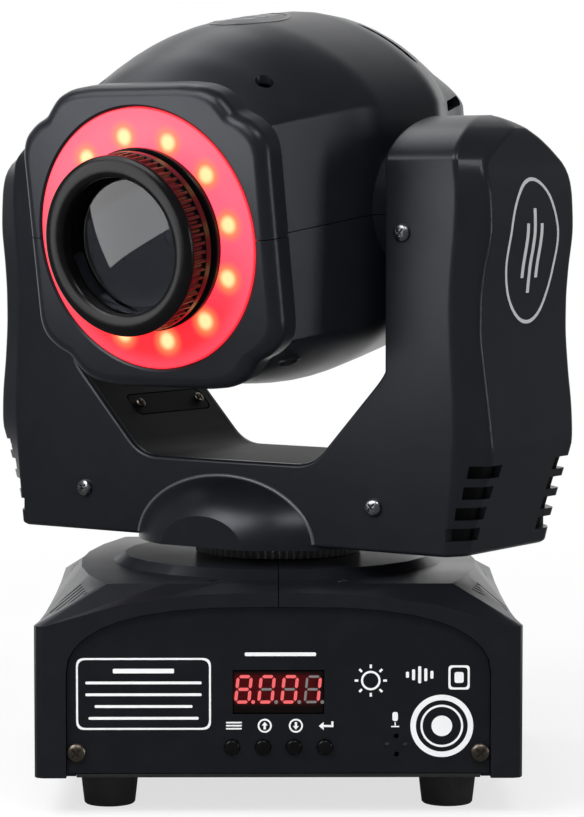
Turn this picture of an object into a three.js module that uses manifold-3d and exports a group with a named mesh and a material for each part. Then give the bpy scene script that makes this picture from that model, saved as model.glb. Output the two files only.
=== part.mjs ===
// A small moving head spotlight: a floor or truss mounted base, a yoke that pans on the base and a
// head that tilts in the yoke. The head holds a lamp, two filter wheels, a ring of indicator lamps
// and a lens that is focused by turning a knurled ring.
//
// Millimetres, +Z up. The origin is on the pan axis, on the underside of the base plate, where a
// hanging bracket is bolted. The control panel faces -Y. Heights are measured from the origin.
// The yoke is panned and the head tilted as they stand in the usual product view.

import * as THREE from 'three';
import { mergeVertices } from 'three/addons/utils/BufferGeometryUtils.js';
import Module from 'manifold-3d';

const wasm = await Module();
wasm.setup();

// Fits and cuts
const clearance = 0.3;
const overrun = 1;

// Rest pose
const panAngle = THREE.MathUtils.degToRad(-34.8);
const tiltAngle = THREE.MathUtils.degToRad(8.6);

// Rubber feet
const footHeight = 12.5;
const footTopRadius = 9.75;
const footFloorRadius = 8.5;
const footInset = 23.5;
const footScrewRadius = 4;
const footScrewDepth = 6;

// Base covers: two moulded halves that meet in the middle
const baseHalfWidth = 80;
const baseHalfDepth = 79.7;
const baseCornerRadius = 3;
const baseSideWall = 3;
const baseEndWall = 6;
const baseRoof = 3;
const cornerHeight = 50;
const crestHeight = 61.3;
const sideHeight = 47;
const crestSharpness = 2.5;
const platformHeight = 62.7;
const platformEndSlope = 11.2;
const platformSideSlope = 11;
const platformCornerSlope = 22.5;
const discMargin = 10.5;
const discBevel = 4;
const discRise = 2.8;
const baseBore = 24;
const coverScrewRadius = 2.8;
const coverScrewDepth = 1.5;
const coverScrewSpacing = 41.4;
const coverScrewInset = 7.5;
const ribGrooveWidth = 1.1;
const ribGrooveDepth = 1.1;
const ribGrooveLength = 14;
const ribGroovePitch = 3.4;
const ribGrooveStart = 45;

// Steel base plate
const plateThickness = 1.2;
const bracketHoleRadius = 4.2;
const bracketHoleSpacing = 60;
const bracketPadHalfWidth = 40;
const bracketPadHalfDepth = 20;
const bracketBeadWidth = 2.5;
const bracketBeadDepth = 0.5;
const plateVentLength = 36;
const plateVentWidth = 2.4;
const plateVentPitch = 6;
const plateVentCount = 5;
const plateVentInset = 34.7;

// Front and rear panels, in arched openings of the covers
const panelSideRoom = 10.5;
const panelSpringHeight = 34.6;
const panelCrestHeight = 56.5;
const panelThickness = 2;
const panelRecess = 1.5;
const panelLedge = 3;
const panelScrewInset = 3.3;
const panelScrewHeight = 8.2;
const panelScrewRadius = 1.8;
const panelBossRadius = 4.4;
const panelBossLength = 8;
const archAcrossShare = 0.667;
const archRiseShare = 0.9;

// Display, buttons and microphone on the front panel
const displayHalfWidth = 15;
const displayHeight = 14.6;
const displayCentreHeight = 28.2;
const displayRecess = 0.5;
const buttonRadius = 2.5;
const buttonFlange = 0.9;
const buttonFlangeThickness = 0.8;
const buttonPitch = 10.13;
const buttonHeight = 10;
const buttonProud = 1.2;
const buttonDome = 0.3;
const buttonStem = 0.55;
const buttonCrownShare = 0.7;
const microphoneShare = 0.5554;
const microphoneHeight = 10.7;
const microphoneRadius = 4.6;
const microphoneHoleRadius = 0.9;
const microphoneHoleCircle = 3;
const boardThickness = 1.6;
const boardGap = 4.2;
const boardSideRoom = 11.5;
const boardBottom = 4;
const boardTop = 42;
const switchHalfWidth = 3;
const switchHeight = 2;

// Sockets on the rear panel
const socketHeight = 26;
const inletHalfWidth = 13.5;
const inletHalfHeight = 10;
const inletFlangeEdge = 2;
const inletFlangeThickness = 2;
const inletDepth = 20;
const inletWall = 1.8;
const inletCavityDepth = 15;
const inletPinWidth = 4;
const inletPinThickness = 2;
const inletPinLength = 12;
const inletPinSpacing = 7;
const fuseRadius = 6;
const fuseCapRadius = 7.6;
const fuseCapHeight = 3;
const fuseLength = 26;
const fuseCapShare = 0.6;
const fuseSlotShare = 0.7;
const fuseSlotWidth = 2.1;
const signalRadius = 11.8;
const signalFlangeHalfWidth = 13;
const signalFlangeHalfHeight = 15.5;
const signalFlangeThickness = 2;
const signalDepth = 19;
const signalBoreRadius = 9.6;
const signalCavityDepth = 13;
const signalPinRadius = 1.2;
const signalPinCircle = 5;
const signalPinLength = 11;
const signalInsertRadius = 7.4;

// Power supply
const supplyHeight = 30;
const supplyFrontGap = 12.4;
const supplyRearGap = 37.7;
const supplySideGap = 0.4;
const supplyTerminalLength = 8;

// Stepping motors that pan and tilt
const panMotorShare = 0.5307;
const panMotorLength = 28;
const tiltMotorSize = 35.2;
const motorCornerCut = 5;
const motorBossRadius = 11;
const motorBossHeight = 1.5;
const motorShaftRadius = 2.5;

// Pan drive
const panBeltShare = 0.5772;
const panPulleyGapShare = 0.1304;
const panRatio = 5;
const panPulleyHeight = 9;
const panPulleyBottom = 32;
const motorPulleyRadius = 6;
const pulleyFlange = 2;
const pulleyFlangeThickness = 1;
const beltThickness = 1.2;
const bridgeGap = 3.5;
const bridgeHalfDepth = 21;
const bridgeThickness = 2.5;
const bridgeHeight = 49;
const bridgeFoot = 8;
const bearingWidth = 8;
const panBearingRadius = 18;
const spindleRadius = 12;
const spindleBore = 8;
const spindleFlangeRadius = 21;
const spindleFlangeHeight = 3.5;

// Ribbed collar between base and yoke
const collarRadius = 29;
const collarBore = 20;
const collarToothCount = 24;
const collarToothDepth = 1.6;
const collarHeight = 5;

// Yoke: U shaped shell, open to the inside, and the liner that closes it
const bellRise = 2.3;
const tiltHeight = 187.5;
const beamTopDrop = 87.6;
const gussetDrop = 56;
const gussetFoot = 36;
const yokeHalfDepth = 32.2;
const armInnerShare = 0.6311;
const armReach = 103;
const armSpringRise = 15.5;
const armCrownRise = 30.9;
const gussetLap = 4;
const yokeFillet = 7;
const yokeWall = 2.5;
const linerThickness = 2.5;
const bellRadius = 49;
const bellVerticalRadius = 31;
const bellFlat = 46;
const bellBore = 14;
const armVentInset = 19;
const armVentHeight = 4;
const armVentPitch = 6.4;
const armVentCount = 4;
const armVentNear = 17;
const armVentFar = 28;
const armVentTopDrop = 86;
const pivotBossRadius = 26;
const pivotBossHeight = 2;
const pivotBoreRadius = 13;
const cablePlateLength = 44;
const cablePlateWidth = 9;
const cablePlateThickness = 1.5;
const cablePlateShare = 0.51;
const cablePlateY = 4;
const cablePlateCorner = 3;

// Steel bracket in the yoke, with the tilt bearings
const bracketThickness = 2;
const bracketHalfDepth = 20;
const bracketRise = 18;
const bracketGap = 0.7;
const bearingRadius = 11;
const tiltBearingWidth = 7;
const axleRadius = 6;
const axleBore = 3.5;
const axleFlangeRadius = 12;
const axleFlangeThickness = 1.9;
const axleTail = 4.8;

// Tilt drive, in the right arm
const tiltBeltReach = 69.5;
const tiltPulleyRadius = 15;
const tiltMotorGap = 0.4;
const tiltPulleyPlaceShare = 0.6502;
const tiltPulleyWidthShare = 0.2244;

// Head shells: sizes from the tilt axis, lens side at -Y
const headFront = 77.4;
const headRear = 68.5;
const bezelThickness = 10;
const bezelHalfWidth = 50;
const bezelHalfHeight = 50.3;
const bezelBevel = 1.8;
const headSideGap = 6.7;
const headTop = 66;
const headBottom = 60;
const headWall = 2.5;
const headBossRadius = 24;
const headVentHeight = 3.6;
const headVentPitch = 8;
const headVentLength = 20;
const headVentCount = 3;
const headVentStart = 12;
const headVentReach = 6.7;
const headVentShare = 0.8125;
const headVentY = 51;
const headVentAngle = 0.34;
const grilleSlotHeight = 3;
const grilleSlotPitch = 6;
const grilleSlotStart = 5;
const grilleRadius = 25;
const headScrewRadius = 3;
const headScrewGap = 1.1;
const headScrewY = 51;
const headScrewFloor = 36;
const headScrewWall = 1.4;
const roofVentLength = 22;
const roofVentWidth = 5;
const roofVentShare = 0.5893;
const roofVentY = 27;

// Indicator ring round the lens
const ringRadius = 43.5;
const diffuserThickness = 2.6;
const diffuserRecess = 0.2;
const ringSeatDepth = 7;
const ringLampCount = 12;
const ringLampCircle = 34.2;
const ringLampSize = 5;
const ringLampHeight = 1.6;
const ringLampStart = THREE.MathUtils.degToRad(-8.3);
const ringInnerRadius = 29.5;

// Lens sleeve, sliding cell and knurled focus ring
const sleeveRadius = 29;
const sleeveWall = 2.4;
const sleeveLength = 34;
const sleeveFlange = 1.5;
const sleeveFlangeThickness = 1.9;
const cellWall = 3;
const cellLength = 32;
const cellLip = 2.5;
const focusRadius = 29.9;
const focusFront = 93.7;
const focusLength = 12.1;
const focusRimLength = 2.4;
const focusLipBore = 22.6;
const focusLipThickness = 2.8;
const focusToothCount = 24;
const focusToothDepth = 0.9;
const focusKnurlLength = 6.6;
const lensBack = 80;
const lensThickness = 7;
const lensBulge = 3;

// Light engine in the head
const chassisSideGap = 5;
const chassisThickness = 1.5;
const chassisTop = 22;
const chassisHalfLength = 19;
const chassisTail = 52;
const chassisTailHalfWidth = 26;
const chassisWallY = -4;
const wheelRim = 1;
const wheelThickness = 1;
const wheelOffsetShare = 0.3922;
const wheelHoleRadius = 5;
const wheelHoleCount = 7;
const wheelHubRadius = 4;
const wheelHubLength = 2.4;
const wheelShaftRadius = 1;
const wheelGap = 3.4;
const apertureRadius = 7.5;
const wheelMotorShare = 0.5;
const wheelMotorLength = 14;
const sinkShare = 0.5357;
const sinkHalfHeight = 27.2;
const sinkFront = 31;
const sinkDepth = 20;
const sinkBase = 5;
const sinkFinCount = 11;
const sinkFinThickness = 1.8;
const lampBoardRadius = 15;
const lampRadius = 5;
const lampHeight = 1.5;
const opticFrontRadius = 12;
const opticBackRadius = 7.5;
const opticLength = 10;
const fanHalfSize = 25;
const fanDepth = 11;
const fanBore = 23.5;
const fanHubRadius = 10;
const fanBladeCount = 7;
const fanBladeThickness = 1.2;
const fanBladeHeight = 8;
const fanPinRadius = 1.5;
const fanSpokeWidth = 3;
const fanSpokeThickness = 2;
const fanScrewRadius = 2.2;
const fanBladeTilt = 0.7;

// Places that follow from the sizes above
const platformHalfDepth = baseHalfDepth - platformEndSlope;
const platformHalfWidth = baseHalfWidth - platformSideSlope;
const platformHalfFront = baseHalfWidth - platformCornerSlope;
const discRadius = Math.min(platformHalfWidth, platformHalfDepth) - discMargin;
const coverScrewY = platformHalfDepth - coverScrewInset;
const plateVentY = baseHalfDepth - plateVentInset;
const panelHalfWidth = baseHalfWidth - panelSideRoom;
const panelScrewX = panelHalfWidth - panelScrewInset;
const boardHalfWidth = panelHalfWidth - boardSideRoom;
const microphoneX = panelHalfWidth * microphoneShare;
const panelFrontY = baseHalfDepth - panelRecess;
const panelBackY = panelFrontY - panelThickness;
const ledgeY = panelBackY - clearance;
const boardFrontY = panelBackY - boardGap;
const panMotorSize = panMotorShare * baseHalfDepth;
const panBeltReach = panBeltShare * baseHalfDepth;
const panDriveRoom = panBeltReach * (1 - panPulleyGapShare) - 2 * pulleyFlange;
const panMotorPulleyRadius = panDriveRoom / (1 + panRatio);
const panPulleyRadius = panRatio * panMotorPulleyRadius;
const bridgeHalfWidth = panPulleyRadius + pulleyFlange + bridgeGap + bridgeThickness;
const panelBottom = plateThickness + clearance;
const discTop = platformHeight + discRise;
const collarBottom = discTop + clearance;
const bellBottom = collarBottom + collarHeight + clearance;
const beamBottom = bellBottom + bellRise;
const beamTop = tiltHeight - beamTopDrop;
const gussetTop = tiltHeight - gussetDrop;
const cablePlateHeight = beamTop + cablePlateShare * (gussetTop - beamTop);
const armInnerX = armInnerShare * armReach;
const armSpring = tiltHeight + armSpringRise;
const armCrown = tiltHeight + armCrownRise;
const bracketFloor = bellBottom + yokeWall + spindleFlangeHeight + 2 * clearance;
const bracketInnerX = armInnerX + linerThickness + bracketGap;
const bracketOuterX = bracketInnerX + bracketThickness;
const tiltDriveRoom = armReach - yokeWall - bracketOuterX;
const tiltPulleyX = bracketOuterX + tiltPulleyPlaceShare * tiltDriveRoom;
const tiltPulleyWidth = tiltPulleyWidthShare * tiltDriveRoom;
const tiltMotorX = bracketOuterX + clearance;
const tiltMotorLength = tiltPulleyX - tiltMotorX - motorBossHeight - tiltMotorGap;
const headBossX = armInnerX - pivotBossHeight - clearance;
const headHalfWidth = headBossX - headSideGap;
const headVentX = headVentShare * headHalfWidth;
const headScrewX = sleeveRadius + headScrewRadius + headScrewWall + headScrewGap;
const roofVentX = roofVentShare * headHalfWidth;
const chassisHalfWidth = headHalfWidth - chassisSideGap;
const wheelOffset = wheelOffsetShare * chassisHalfWidth;
const wheelRadius = wheelOffset + wheelHoleRadius + wheelRim;
const wheelMotorRadius = wheelMotorShare * wheelOffset;
const sinkHalfWidth = sinkShare * headHalfWidth;
const bezelRearY = -headFront + bezelThickness;
const sleeveBore = sleeveRadius - sleeveWall;
const cellRadius = sleeveBore - clearance;
const cellBore = cellRadius - cellWall;
const focusBackY = -focusFront + focusLength;
const beltGap = clearance;

// Right arm, level by level: height from the beam's underside to the spring of the rounded top,
// then the places of the front strip's edge and of the outer face, and the outer face's half depth
const armSideShares = [
  [0, 0.85, 0.879, 0.42],
  [0.2, 0.874, 0.966, 0.528],
  [0.279, 0.885, 1, 0.823],
  [0.452, 0.882, 0.985, 0.845],
  [0.566, 0.874, 0.968, 0.848],
  [0.823, 0.897, 1, 0.848],
  [0.9, 0.897, 1, 0.807],
  [1, 0.889, 0.985, 0.65],
];
const armArchShares = [
  [0.2, 0.886, 0.972, 0.6],
  [0.41, 0.88, 0.951, 0.52],
  [0.6, 0.872, 0.93, 0.45],
  [0.76, 0.859, 0.903, 0.42],
  [0.94, 0.83, 0.86, 0.4],
];
const armArchShare = 1.5;

// Head, level with its lens axis, from the bezel to the rear face: place along that length, then
// half width, height above and below the axis, and the height of the flat of the side
const headShares = [
  [0, 0.804, 0.697, 0.75, 0.53],
  [0.128, 0.875, 0.871, 0.883, 0.53],
  [0.29, 0.961, 0.985, 0.975, 0.53],
  [0.378, 1, 1, 1, 0.515],
  [0.628, 1, 0.985, 0.983, 0.47],
  [0.717, 0.929, 0.955, 0.958, 0.455],
  [0.776, 0.857, 0.924, 0.917, 0.44],
  [0.864, 0.782, 0.788, 0.817, 0.424],
  [0.982, 0.679, 0.606, 0.65, 0.379],
  [1, 0.625, 0.545, 0.6, 0.348],
];
const headArchShare = 1.25;

// A quarter of the bezel's outline, from its side to its top
const bezelShares = [
  [1, 0.616],
  [0.94, 0.696],
  [0.86, 0.775],
  [0.828, 0.849],
  [0.738, 0.93],
  [0.52, 1],
];

// One tooth of a ribbed ring: places along the pitch, and how deep the outline lies there
const toothShares = [[0.25, 0], [0.75, 1]];

// The room left between the sockets of the rear panel, as shares from its left edge
const socketGapShares = [0.2451, 0.0956, 0.1814, 0.1716];

const quarterTurn = Math.PI / 2;
const fineSteps = 24;
const roundSteps = 18;
const innerSteps = 12;
const smallSteps = 10;
const archSteps = 8;
const innerArchSteps = 6;
const pinSteps = 6;
const coverSideSteps = 6;
const bellSteps = 5;
const cornerSteps = 3;
const lensSteps = 3;

// Materials

function finish(colour, roughness, metalness = 0) {
  return new THREE.MeshStandardMaterial({ color: colour, roughness, metalness });
}

const blackPlastic = finish(0x1b1c20, 0.55);
const darkPlastic = finish(0x121316, 0.45);
const rubber = finish(0x0c0c0d, 0.9);
const blackSteel = finish(0x202226, 0.5, 0.6);
const zincSteel = finish(0xb4b7ba, 0.35, 0.9);
const brightSteel = finish(0xd0d2d4, 0.25, 1);
const aluminium = finish(0xc2c4c6, 0.4, 0.9);
const anodised = finish(0x0e0e10, 0.3, 0.4);
const glass = finish(0x30343a, 0.05);
const redGlow = finish(0xff3a4a, 0.4);
const displayRed = finish(0x3a0508, 0.2);
const circuitGreen = finish(0x1d4a2c, 0.6);
const belting = finish(0x0d0d0d, 0.85);
const dichroic = finish(0x3f5fb0, 0.2, 0.3);

// Solids

/** Turns a closed geometry into a solid: shared corners joined, faces pointing out. */
function toSolid(geometry) {
  const bare = geometry.index ? geometry.toNonIndexed() : geometry.clone();
  for (const name of Object.keys(bare.attributes)) {
    if (name !== 'position') bare.deleteAttribute(name);
  }
  const merged = mergeVertices(bare);
  const corners = merged.attributes.position.array;
  const triangles = [];
  let volume = 0;
  const a = new THREE.Vector3();
  const b = new THREE.Vector3();
  const c = new THREE.Vector3();
  for (let i = 0; i < merged.index.count; i += 3) {
    const [p, q, r] = [0, 1, 2].map((k) => merged.index.getX(i + k));
    if (p === q || q === r || r === p) continue;
    triangles.push(p, q, r);
    a.fromArray(corners, 3 * p);
    b.fromArray(corners, 3 * q);
    c.fromArray(corners, 3 * r);
    volume += a.dot(b.cross(c));
  }
  if (volume < 0) triangles.reverse();
  return new wasm.Manifold(new wasm.Mesh({
    numProp: 3,
    vertProperties: new Float32Array(corners),
    triVerts: new Uint32Array(triangles),
  }));
}

/** Turns a solid back into a geometry. */
function toGeometry(body) {
  const mesh = body.getMesh();
  const geometry = new THREE.BufferGeometry();
  geometry.setAttribute('position', new THREE.BufferAttribute(new Float32Array(mesh.vertProperties), 3));
  geometry.setIndex(new THREE.BufferAttribute(new Uint32Array(mesh.triVerts), 1));
  return geometry;
}

function join(...bodies) {
  return bodies.reduce((whole, body) => whole.add(body));
}

function cut(body, ...tools) {
  return tools.reduce((rest, tool) => rest.subtract(tool), body);
}

function block(x0, x1, y0, y1, z0, z1) {
  const geometry = new THREE.BoxGeometry(x1 - x0, y1 - y0, z1 - z0);
  geometry.translate((x0 + x1) / 2, (y0 + y1) / 2, (z0 + z1) / 2);
  return toSolid(geometry);
}

/** The turn that carries an outline drawn in X and Y to the plane square to the named axis. */
function axisBasis(axis) {
  const [x, y, z] = [new THREE.Vector3(1, 0, 0), new THREE.Vector3(0, 1, 0), new THREE.Vector3(0, 0, 1)];
  if (axis === 'x') return new THREE.Matrix4().makeBasis(y, z, x);
  if (axis === 'y') return new THREE.Matrix4().makeBasis(x, z, y.negate());
  return new THREE.Matrix4();
}

/**
 * Extrudes an outline along an axis between two places on it. The outline's pairs are (y, z) for
 * axis x, (x, z) for axis y and (x, y) for axis z.
 */
function prism(axis, outline, from, to, holes = [], bevel = 0) {
  const shape = outline instanceof THREE.Shape ? outline : shapeOf(outline);
  shape.holes.push(...holes);
  const geometry = new THREE.ExtrudeGeometry(shape, {
    depth: to - from - 2 * bevel,
    bevelEnabled: bevel > 0,
    bevelSize: bevel,
    bevelOffset: -bevel,
    bevelThickness: bevel,
    bevelSegments: 1,
  });
  geometry.applyMatrix4(axisBasis(axis));
  const start = axis === 'y' ? -to : from;
  geometry.translate(...axisVector(axis === 'y' ? '-y' : axis, start + bevel));
  return toSolid(geometry);
}

function axisVector(axis, length) {
  if (axis === 'x') return [length, 0, 0];
  if (axis === 'y') return [0, length, 0];
  if (axis === '-y') return [0, -length, 0];
  return [0, 0, length];
}

function shapeOf(points) {
  return new THREE.Shape(points.map(([u, v]) => new THREE.Vector2(u, v)));
}

/** A round hole of an outline. */
function roundHole(u, v, radius, steps = innerSteps) {
  const points = [];
  for (let i = 0; i < steps; i += 1) {
    const angle = (-2 * Math.PI * i) / steps;
    points.push([u + radius * Math.cos(angle), v + radius * Math.sin(angle)]);
  }
  return holeOf(points);
}

/** A four-cornered hole or outline, given as points. */
function rectangle(u0, u1, v0, v1) {
  return [[u0, v0], [u1, v0], [u1, v1], [u0, v1]];
}

function holeOf(points) {
  return new THREE.Path(points.map(([u, v]) => new THREE.Vector2(u, v)));
}

/** A rectangle with round corners. */
function roundRectangle(halfWidth, halfHeight, radius, centreU = 0, centreV = 0) {
  const points = [];
  for (let corner = 0; corner < 4; corner += 1) {
    const u = centreU + (corner === 0 || corner === 3 ? 1 : -1) * (halfWidth - radius);
    const v = centreV + (corner < 2 ? 1 : -1) * (halfHeight - radius);
    for (let i = 0; i <= cornerSteps; i += 1) {
      const angle = quarterTurn * (corner + i / cornerSteps);
      points.push([u + radius * Math.cos(angle), v + radius * Math.sin(angle)]);
    }
  }
  return points;
}

/** Turns a profile of [radius, place] pairs about an axis. A profile that stays off it is a ring. */
function revolve(axis, profile, steps = innerSteps) {
  const points = profile.map(([radius, place]) => new THREE.Vector2(radius, place));
  if (profile[0][0] > 0) points.push(points[0].clone());
  const geometry = new THREE.LatheGeometry(points, steps);
  if (axis === 'z') geometry.rotateX(quarterTurn);
  if (axis === 'x') geometry.rotateZ(-quarterTurn);
  return toSolid(geometry);
}

/** A plain cylinder between two places on an axis. */
function rod(axis, radius, from, to, steps = smallSteps) {
  return revolve(axis, [[0, from], [radius, from], [radius, to], [0, to]], steps);
}

/** A plain tube between two places on an axis. */
function tube(axis, outer, inner, from, to, steps = innerSteps) {
  return revolve(axis, [[outer, from], [outer, to], [inner, to], [inner, from]], steps);
}

/** Joins rings of points into a closed skin. Rings that don't come back round are capped. */
function loft(rings, comesRound = false) {
  const count = rings[0].length;
  const positions = rings.flat().flatMap((p) => [p.x, p.y, p.z]);
  const index = [];
  const last = comesRound ? rings.length : rings.length - 1;
  for (let r = 0; r < last; r += 1) {
    const here = r * count;
    const next = ((r + 1) % rings.length) * count;
    for (let i = 0; i < count; i += 1) {
      const j = (i + 1) % count;
      index.push(here + i, here + j, next + j, here + i, next + j, next + i);
    }
  }
  if (!comesRound) {
    const top = (rings.length - 1) * count;
    for (let i = 1; i < count - 1; i += 1) {
      index.push(0, i + 1, i, top, top + i, top + i + 1);
    }
  }
  const geometry = new THREE.BufferGeometry();
  geometry.setAttribute('position', new THREE.Float32BufferAttribute(positions, 3));
  geometry.setIndex(index);
  return toSolid(geometry);
}

/** Shifts an open line of points sideways, to the right of its direction, with mitred corners. */
function shiftLine(points, distance) {
  return points.map((point, i) => {
    const before = points[Math.max(i - 1, 0)];
    const after = points[Math.min(i + 1, points.length - 1)];
    const into = i > 0 ? unit(before, point) : unit(point, after);
    const out = i < points.length - 1 ? unit(point, after) : into;
    const [nu, nv] = [into[1] + out[1], -(into[0] + out[0])];
    const scale = (2 * distance) / (nu * nu + nv * nv);
    return [point[0] + nu * scale, point[1] + nv * scale];
  });
}

function unit(from, to) {
  const length = Math.hypot(to[0] - from[0], to[1] - from[1]);
  return [(to[0] - from[0]) / length, (to[1] - from[1]) / length];
}

/** The named mesh of one piece. */
function piece(name, body, material) {
  const mesh = new THREE.Mesh(toGeometry(body), material);
  mesh.name = name;
  return mesh;
}

/** The same solid after a move, a turn or a reflection. */
function transformed(body, matrix) {
  return toSolid(toGeometry(body).applyMatrix4(matrix));
}

function moved(body, x, y, z) {
  return transformed(body, new THREE.Matrix4().makeTranslation(x, y, z));
}

function turned(body, axis, angle) {
  const direction = new THREE.Vector3(...axisVector(axis, 1));
  return transformed(body, new THREE.Matrix4().makeRotationAxis(direction, angle));
}

function mirrored(body, axis) {
  const sides = { x: [-1, 1, 1], y: [1, -1, 1], z: [1, 1, -1] }[axis];
  return transformed(body, new THREE.Matrix4().makeScale(...sides));
}

// Base

/** The height of a cover's wall along one side of the base; t runs from -1 to 1 along it. */
function wallTop(side, t) {
  const rise = 1 - Math.abs(t) ** crestSharpness;
  const middle = side % 2 === 0 ? crestHeight : sideHeight;
  return cornerHeight + (middle - cornerHeight) * rise;
}

/** Points round a rounded rectangle whose left and right sides may bulge. */
function coverRing(halfX, halfY, radius, heightOf, bulge = 0) {
  const ring = [];
  for (let side = 0; side < 4; side += 1) {
    const turn = side * quarterTurn;
    const [across, along] = side % 2 === 0 ? [halfY, halfX] : [halfX, halfY];
    const place = (u, v, z) => {
      ring.push(new THREE.Vector3(u, -v, z).applyAxisAngle(new THREE.Vector3(0, 0, 1), turn));
    };
    for (let i = 0; i <= coverSideSteps; i += 1) {
      const t = -1 + (2 * i) / coverSideSteps;
      const out = side % 2 === 0 ? 0 : bulge * (1 - t * t);
      place(t * (along - radius), across + out, heightOf(side, t));
    }
    const diagonal = radius * Math.SQRT1_2;
    place(along - radius + diagonal, across - radius + diagonal, heightOf(side, 1));
  }
  return ring;
}

/** A level circle with one point for each point of the platform's edge, at the same bearing. */
function matchedCircle(ring, radius, height) {
  return ring.map((p) => {
    const bearing = Math.atan2(p.y, p.x);
    return new THREE.Vector3(radius * Math.cos(bearing), radius * Math.sin(bearing), height);
  });
}

/** The moulded shell of the base, before its openings are cut and it is parted in two. */
function coverShell() {
  const bulge = platformHalfWidth - platformHalfFront;
  const inner = [baseHalfWidth - baseSideWall, baseHalfDepth - baseEndWall];
  const innerRadius = baseCornerRadius / 2;
  const ceiling = platformHeight - baseRoof;
  const edge = coverRing(platformHalfFront, platformHalfDepth, innerRadius, () => platformHeight, bulge);
  const innerEdge = coverRing(
    platformHalfFront - baseRoof,
    Math.min(platformHalfDepth, inner[1]) - baseRoof,
    innerRadius,
    () => ceiling,
    bulge,
  );
  return loft([
    coverRing(baseHalfWidth, baseHalfDepth, baseCornerRadius, () => 0),
    coverRing(baseHalfWidth, baseHalfDepth, baseCornerRadius, wallTop),
    edge,
    matchedCircle(edge, discRadius, platformHeight),
    matchedCircle(edge, discRadius - discBevel, discTop),
    matchedCircle(edge, baseBore, discTop),
    matchedCircle(edge, baseBore, discTop - baseRoof),
    matchedCircle(edge, discRadius - discBevel - baseRoof, discTop - baseRoof),
    matchedCircle(edge, discRadius - baseRoof, ceiling),
    innerEdge,
    coverRing(...inner, innerRadius, (side, t) => wallTop(side, t) - baseRoof),
    coverRing(...inner, innerRadius, () => 0),
  ], true);
}

/** The arched outline of a panel opening, drawn in by an inset, down to a given height. */
function archOutline(inset, bottom) {
  const halfWidth = panelHalfWidth - inset;
  const rise = panelCrestHeight - panelSpringHeight - inset;
  const points = [[-halfWidth, bottom], [halfWidth, bottom]];
  for (let i = 0; i <= roundSteps; i += 1) {
    const angle = (Math.PI * i) / roundSteps;
    const across = Math.sign(Math.cos(angle)) * Math.abs(Math.cos(angle)) ** archAcrossShare;
    const up = Math.sin(angle) ** archRiseShare;
    points.push([halfWidth * across, panelSpringHeight + rise * up]);
  }
  return points;
}

/** Everything that is cut from the covers at one end, here the front. */
function endOpening() {
  return join(
    prism('y', archOutline(0, -overrun), -baseHalfDepth - overrun, -ledgeY),
    prism('y', archOutline(panelLedge, -overrun), -ledgeY - overrun, -baseHalfDepth + baseEndWall + overrun),
  );
}

/** A boss in a cover's lower corner that takes a panel screw, here at the front right. */
function panelBoss() {
  const end = -ledgeY + panelBossLength;
  const body = moved(rod('y', panelBossRadius, -ledgeY, end), panelScrewX, 0, panelScrewHeight);
  const web = block(
    panelScrewX,
    baseHalfWidth - baseSideWall / 2,
    -ledgeY,
    end,
    panelScrewHeight - panelBossRadius / 2,
    panelScrewHeight + panelBossRadius / 2,
  );
  const bore = rod('y', panelScrewRadius, -ledgeY - overrun, end + overrun);
  return cut(join(body, web), moved(bore, panelScrewX, 0, panelScrewHeight));
}

/** The fan of fine grooves on a side slope, here near the front right corner. */
function ribGrooves() {
  const grooves = [];
  for (let y = ribGrooveStart; y < platformHalfDepth - ribGroovePitch; y += ribGroovePitch) {
    const share = y / platformHalfDepth;
    const edgeX = platformHalfFront + (platformHalfWidth - platformHalfFront) * (1 - share * share);
    const wallHeight = wallTop(1, y / baseHalfDepth);
    const angle = Math.atan2(platformHeight - wallHeight, baseHalfWidth - edgeX);
    const groove = block(
      -ribGrooveLength / 2,
      ribGrooveLength / 2,
      -ribGrooveWidth / 2,
      ribGrooveWidth / 2,
      -ribGrooveDepth,
      ribGrooveDepth,
    );
    grooves.push(moved(
      turned(groove, 'y', angle),
      (baseHalfWidth + edgeX) / 2,
      -y,
      (wallHeight + platformHeight) / 2,
    ));
  }
  return join(...grooves);
}

/** Both cover halves as one shell with its openings, bosses, grooves and screw wells. */
function wholeCover() {
  const frontOpening = endOpening();
  const boss = panelBoss();
  const grooves = ribGrooves();
  const well = rod('z', coverScrewRadius, platformHeight - coverScrewDepth, platformHeight + overrun, pinSteps);
  const wells = [-1, 1].flatMap((sx) => [-1, 1].map((sy) => (
    moved(well, (sx * coverScrewSpacing) / 2, sy * coverScrewY, 0)
  )));
  const bored = cut(
    coverShell(),
    frontOpening,
    mirrored(frontOpening, 'y'),
    grooves,
    mirrored(grooves, 'x'),
    mirrored(grooves, 'y'),
    mirrored(mirrored(grooves, 'x'), 'y'),
    ...wells,
  );
  return join(bored, boss, mirrored(boss, 'x'), mirrored(boss, 'y'), mirrored(mirrored(boss, 'x'), 'y'));
}

function baseCovers() {
  const whole = wholeCover();
  const half = (from, to) => whole.intersect(block(
    from,
    to,
    -baseHalfDepth - overrun,
    baseHalfDepth + overrun,
    -overrun,
    discTop + overrun,
  ));
  return [
    piece('base_cover_left', half(-baseHalfWidth - overrun, -clearance / 2), blackPlastic),
    piece('base_cover_right', half(clearance / 2, baseHalfWidth + overrun), blackPlastic),
  ];
}

/** The seat of a hanging bracket, grown by a margin all round, to cut the bead about it. */
function bracketPad(margin) {
  return block(
    -bracketPadHalfWidth - margin,
    bracketPadHalfWidth + margin,
    -bracketPadHalfDepth - margin,
    bracketPadHalfDepth + margin,
    -overrun,
    bracketBeadDepth,
  );
}

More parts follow.
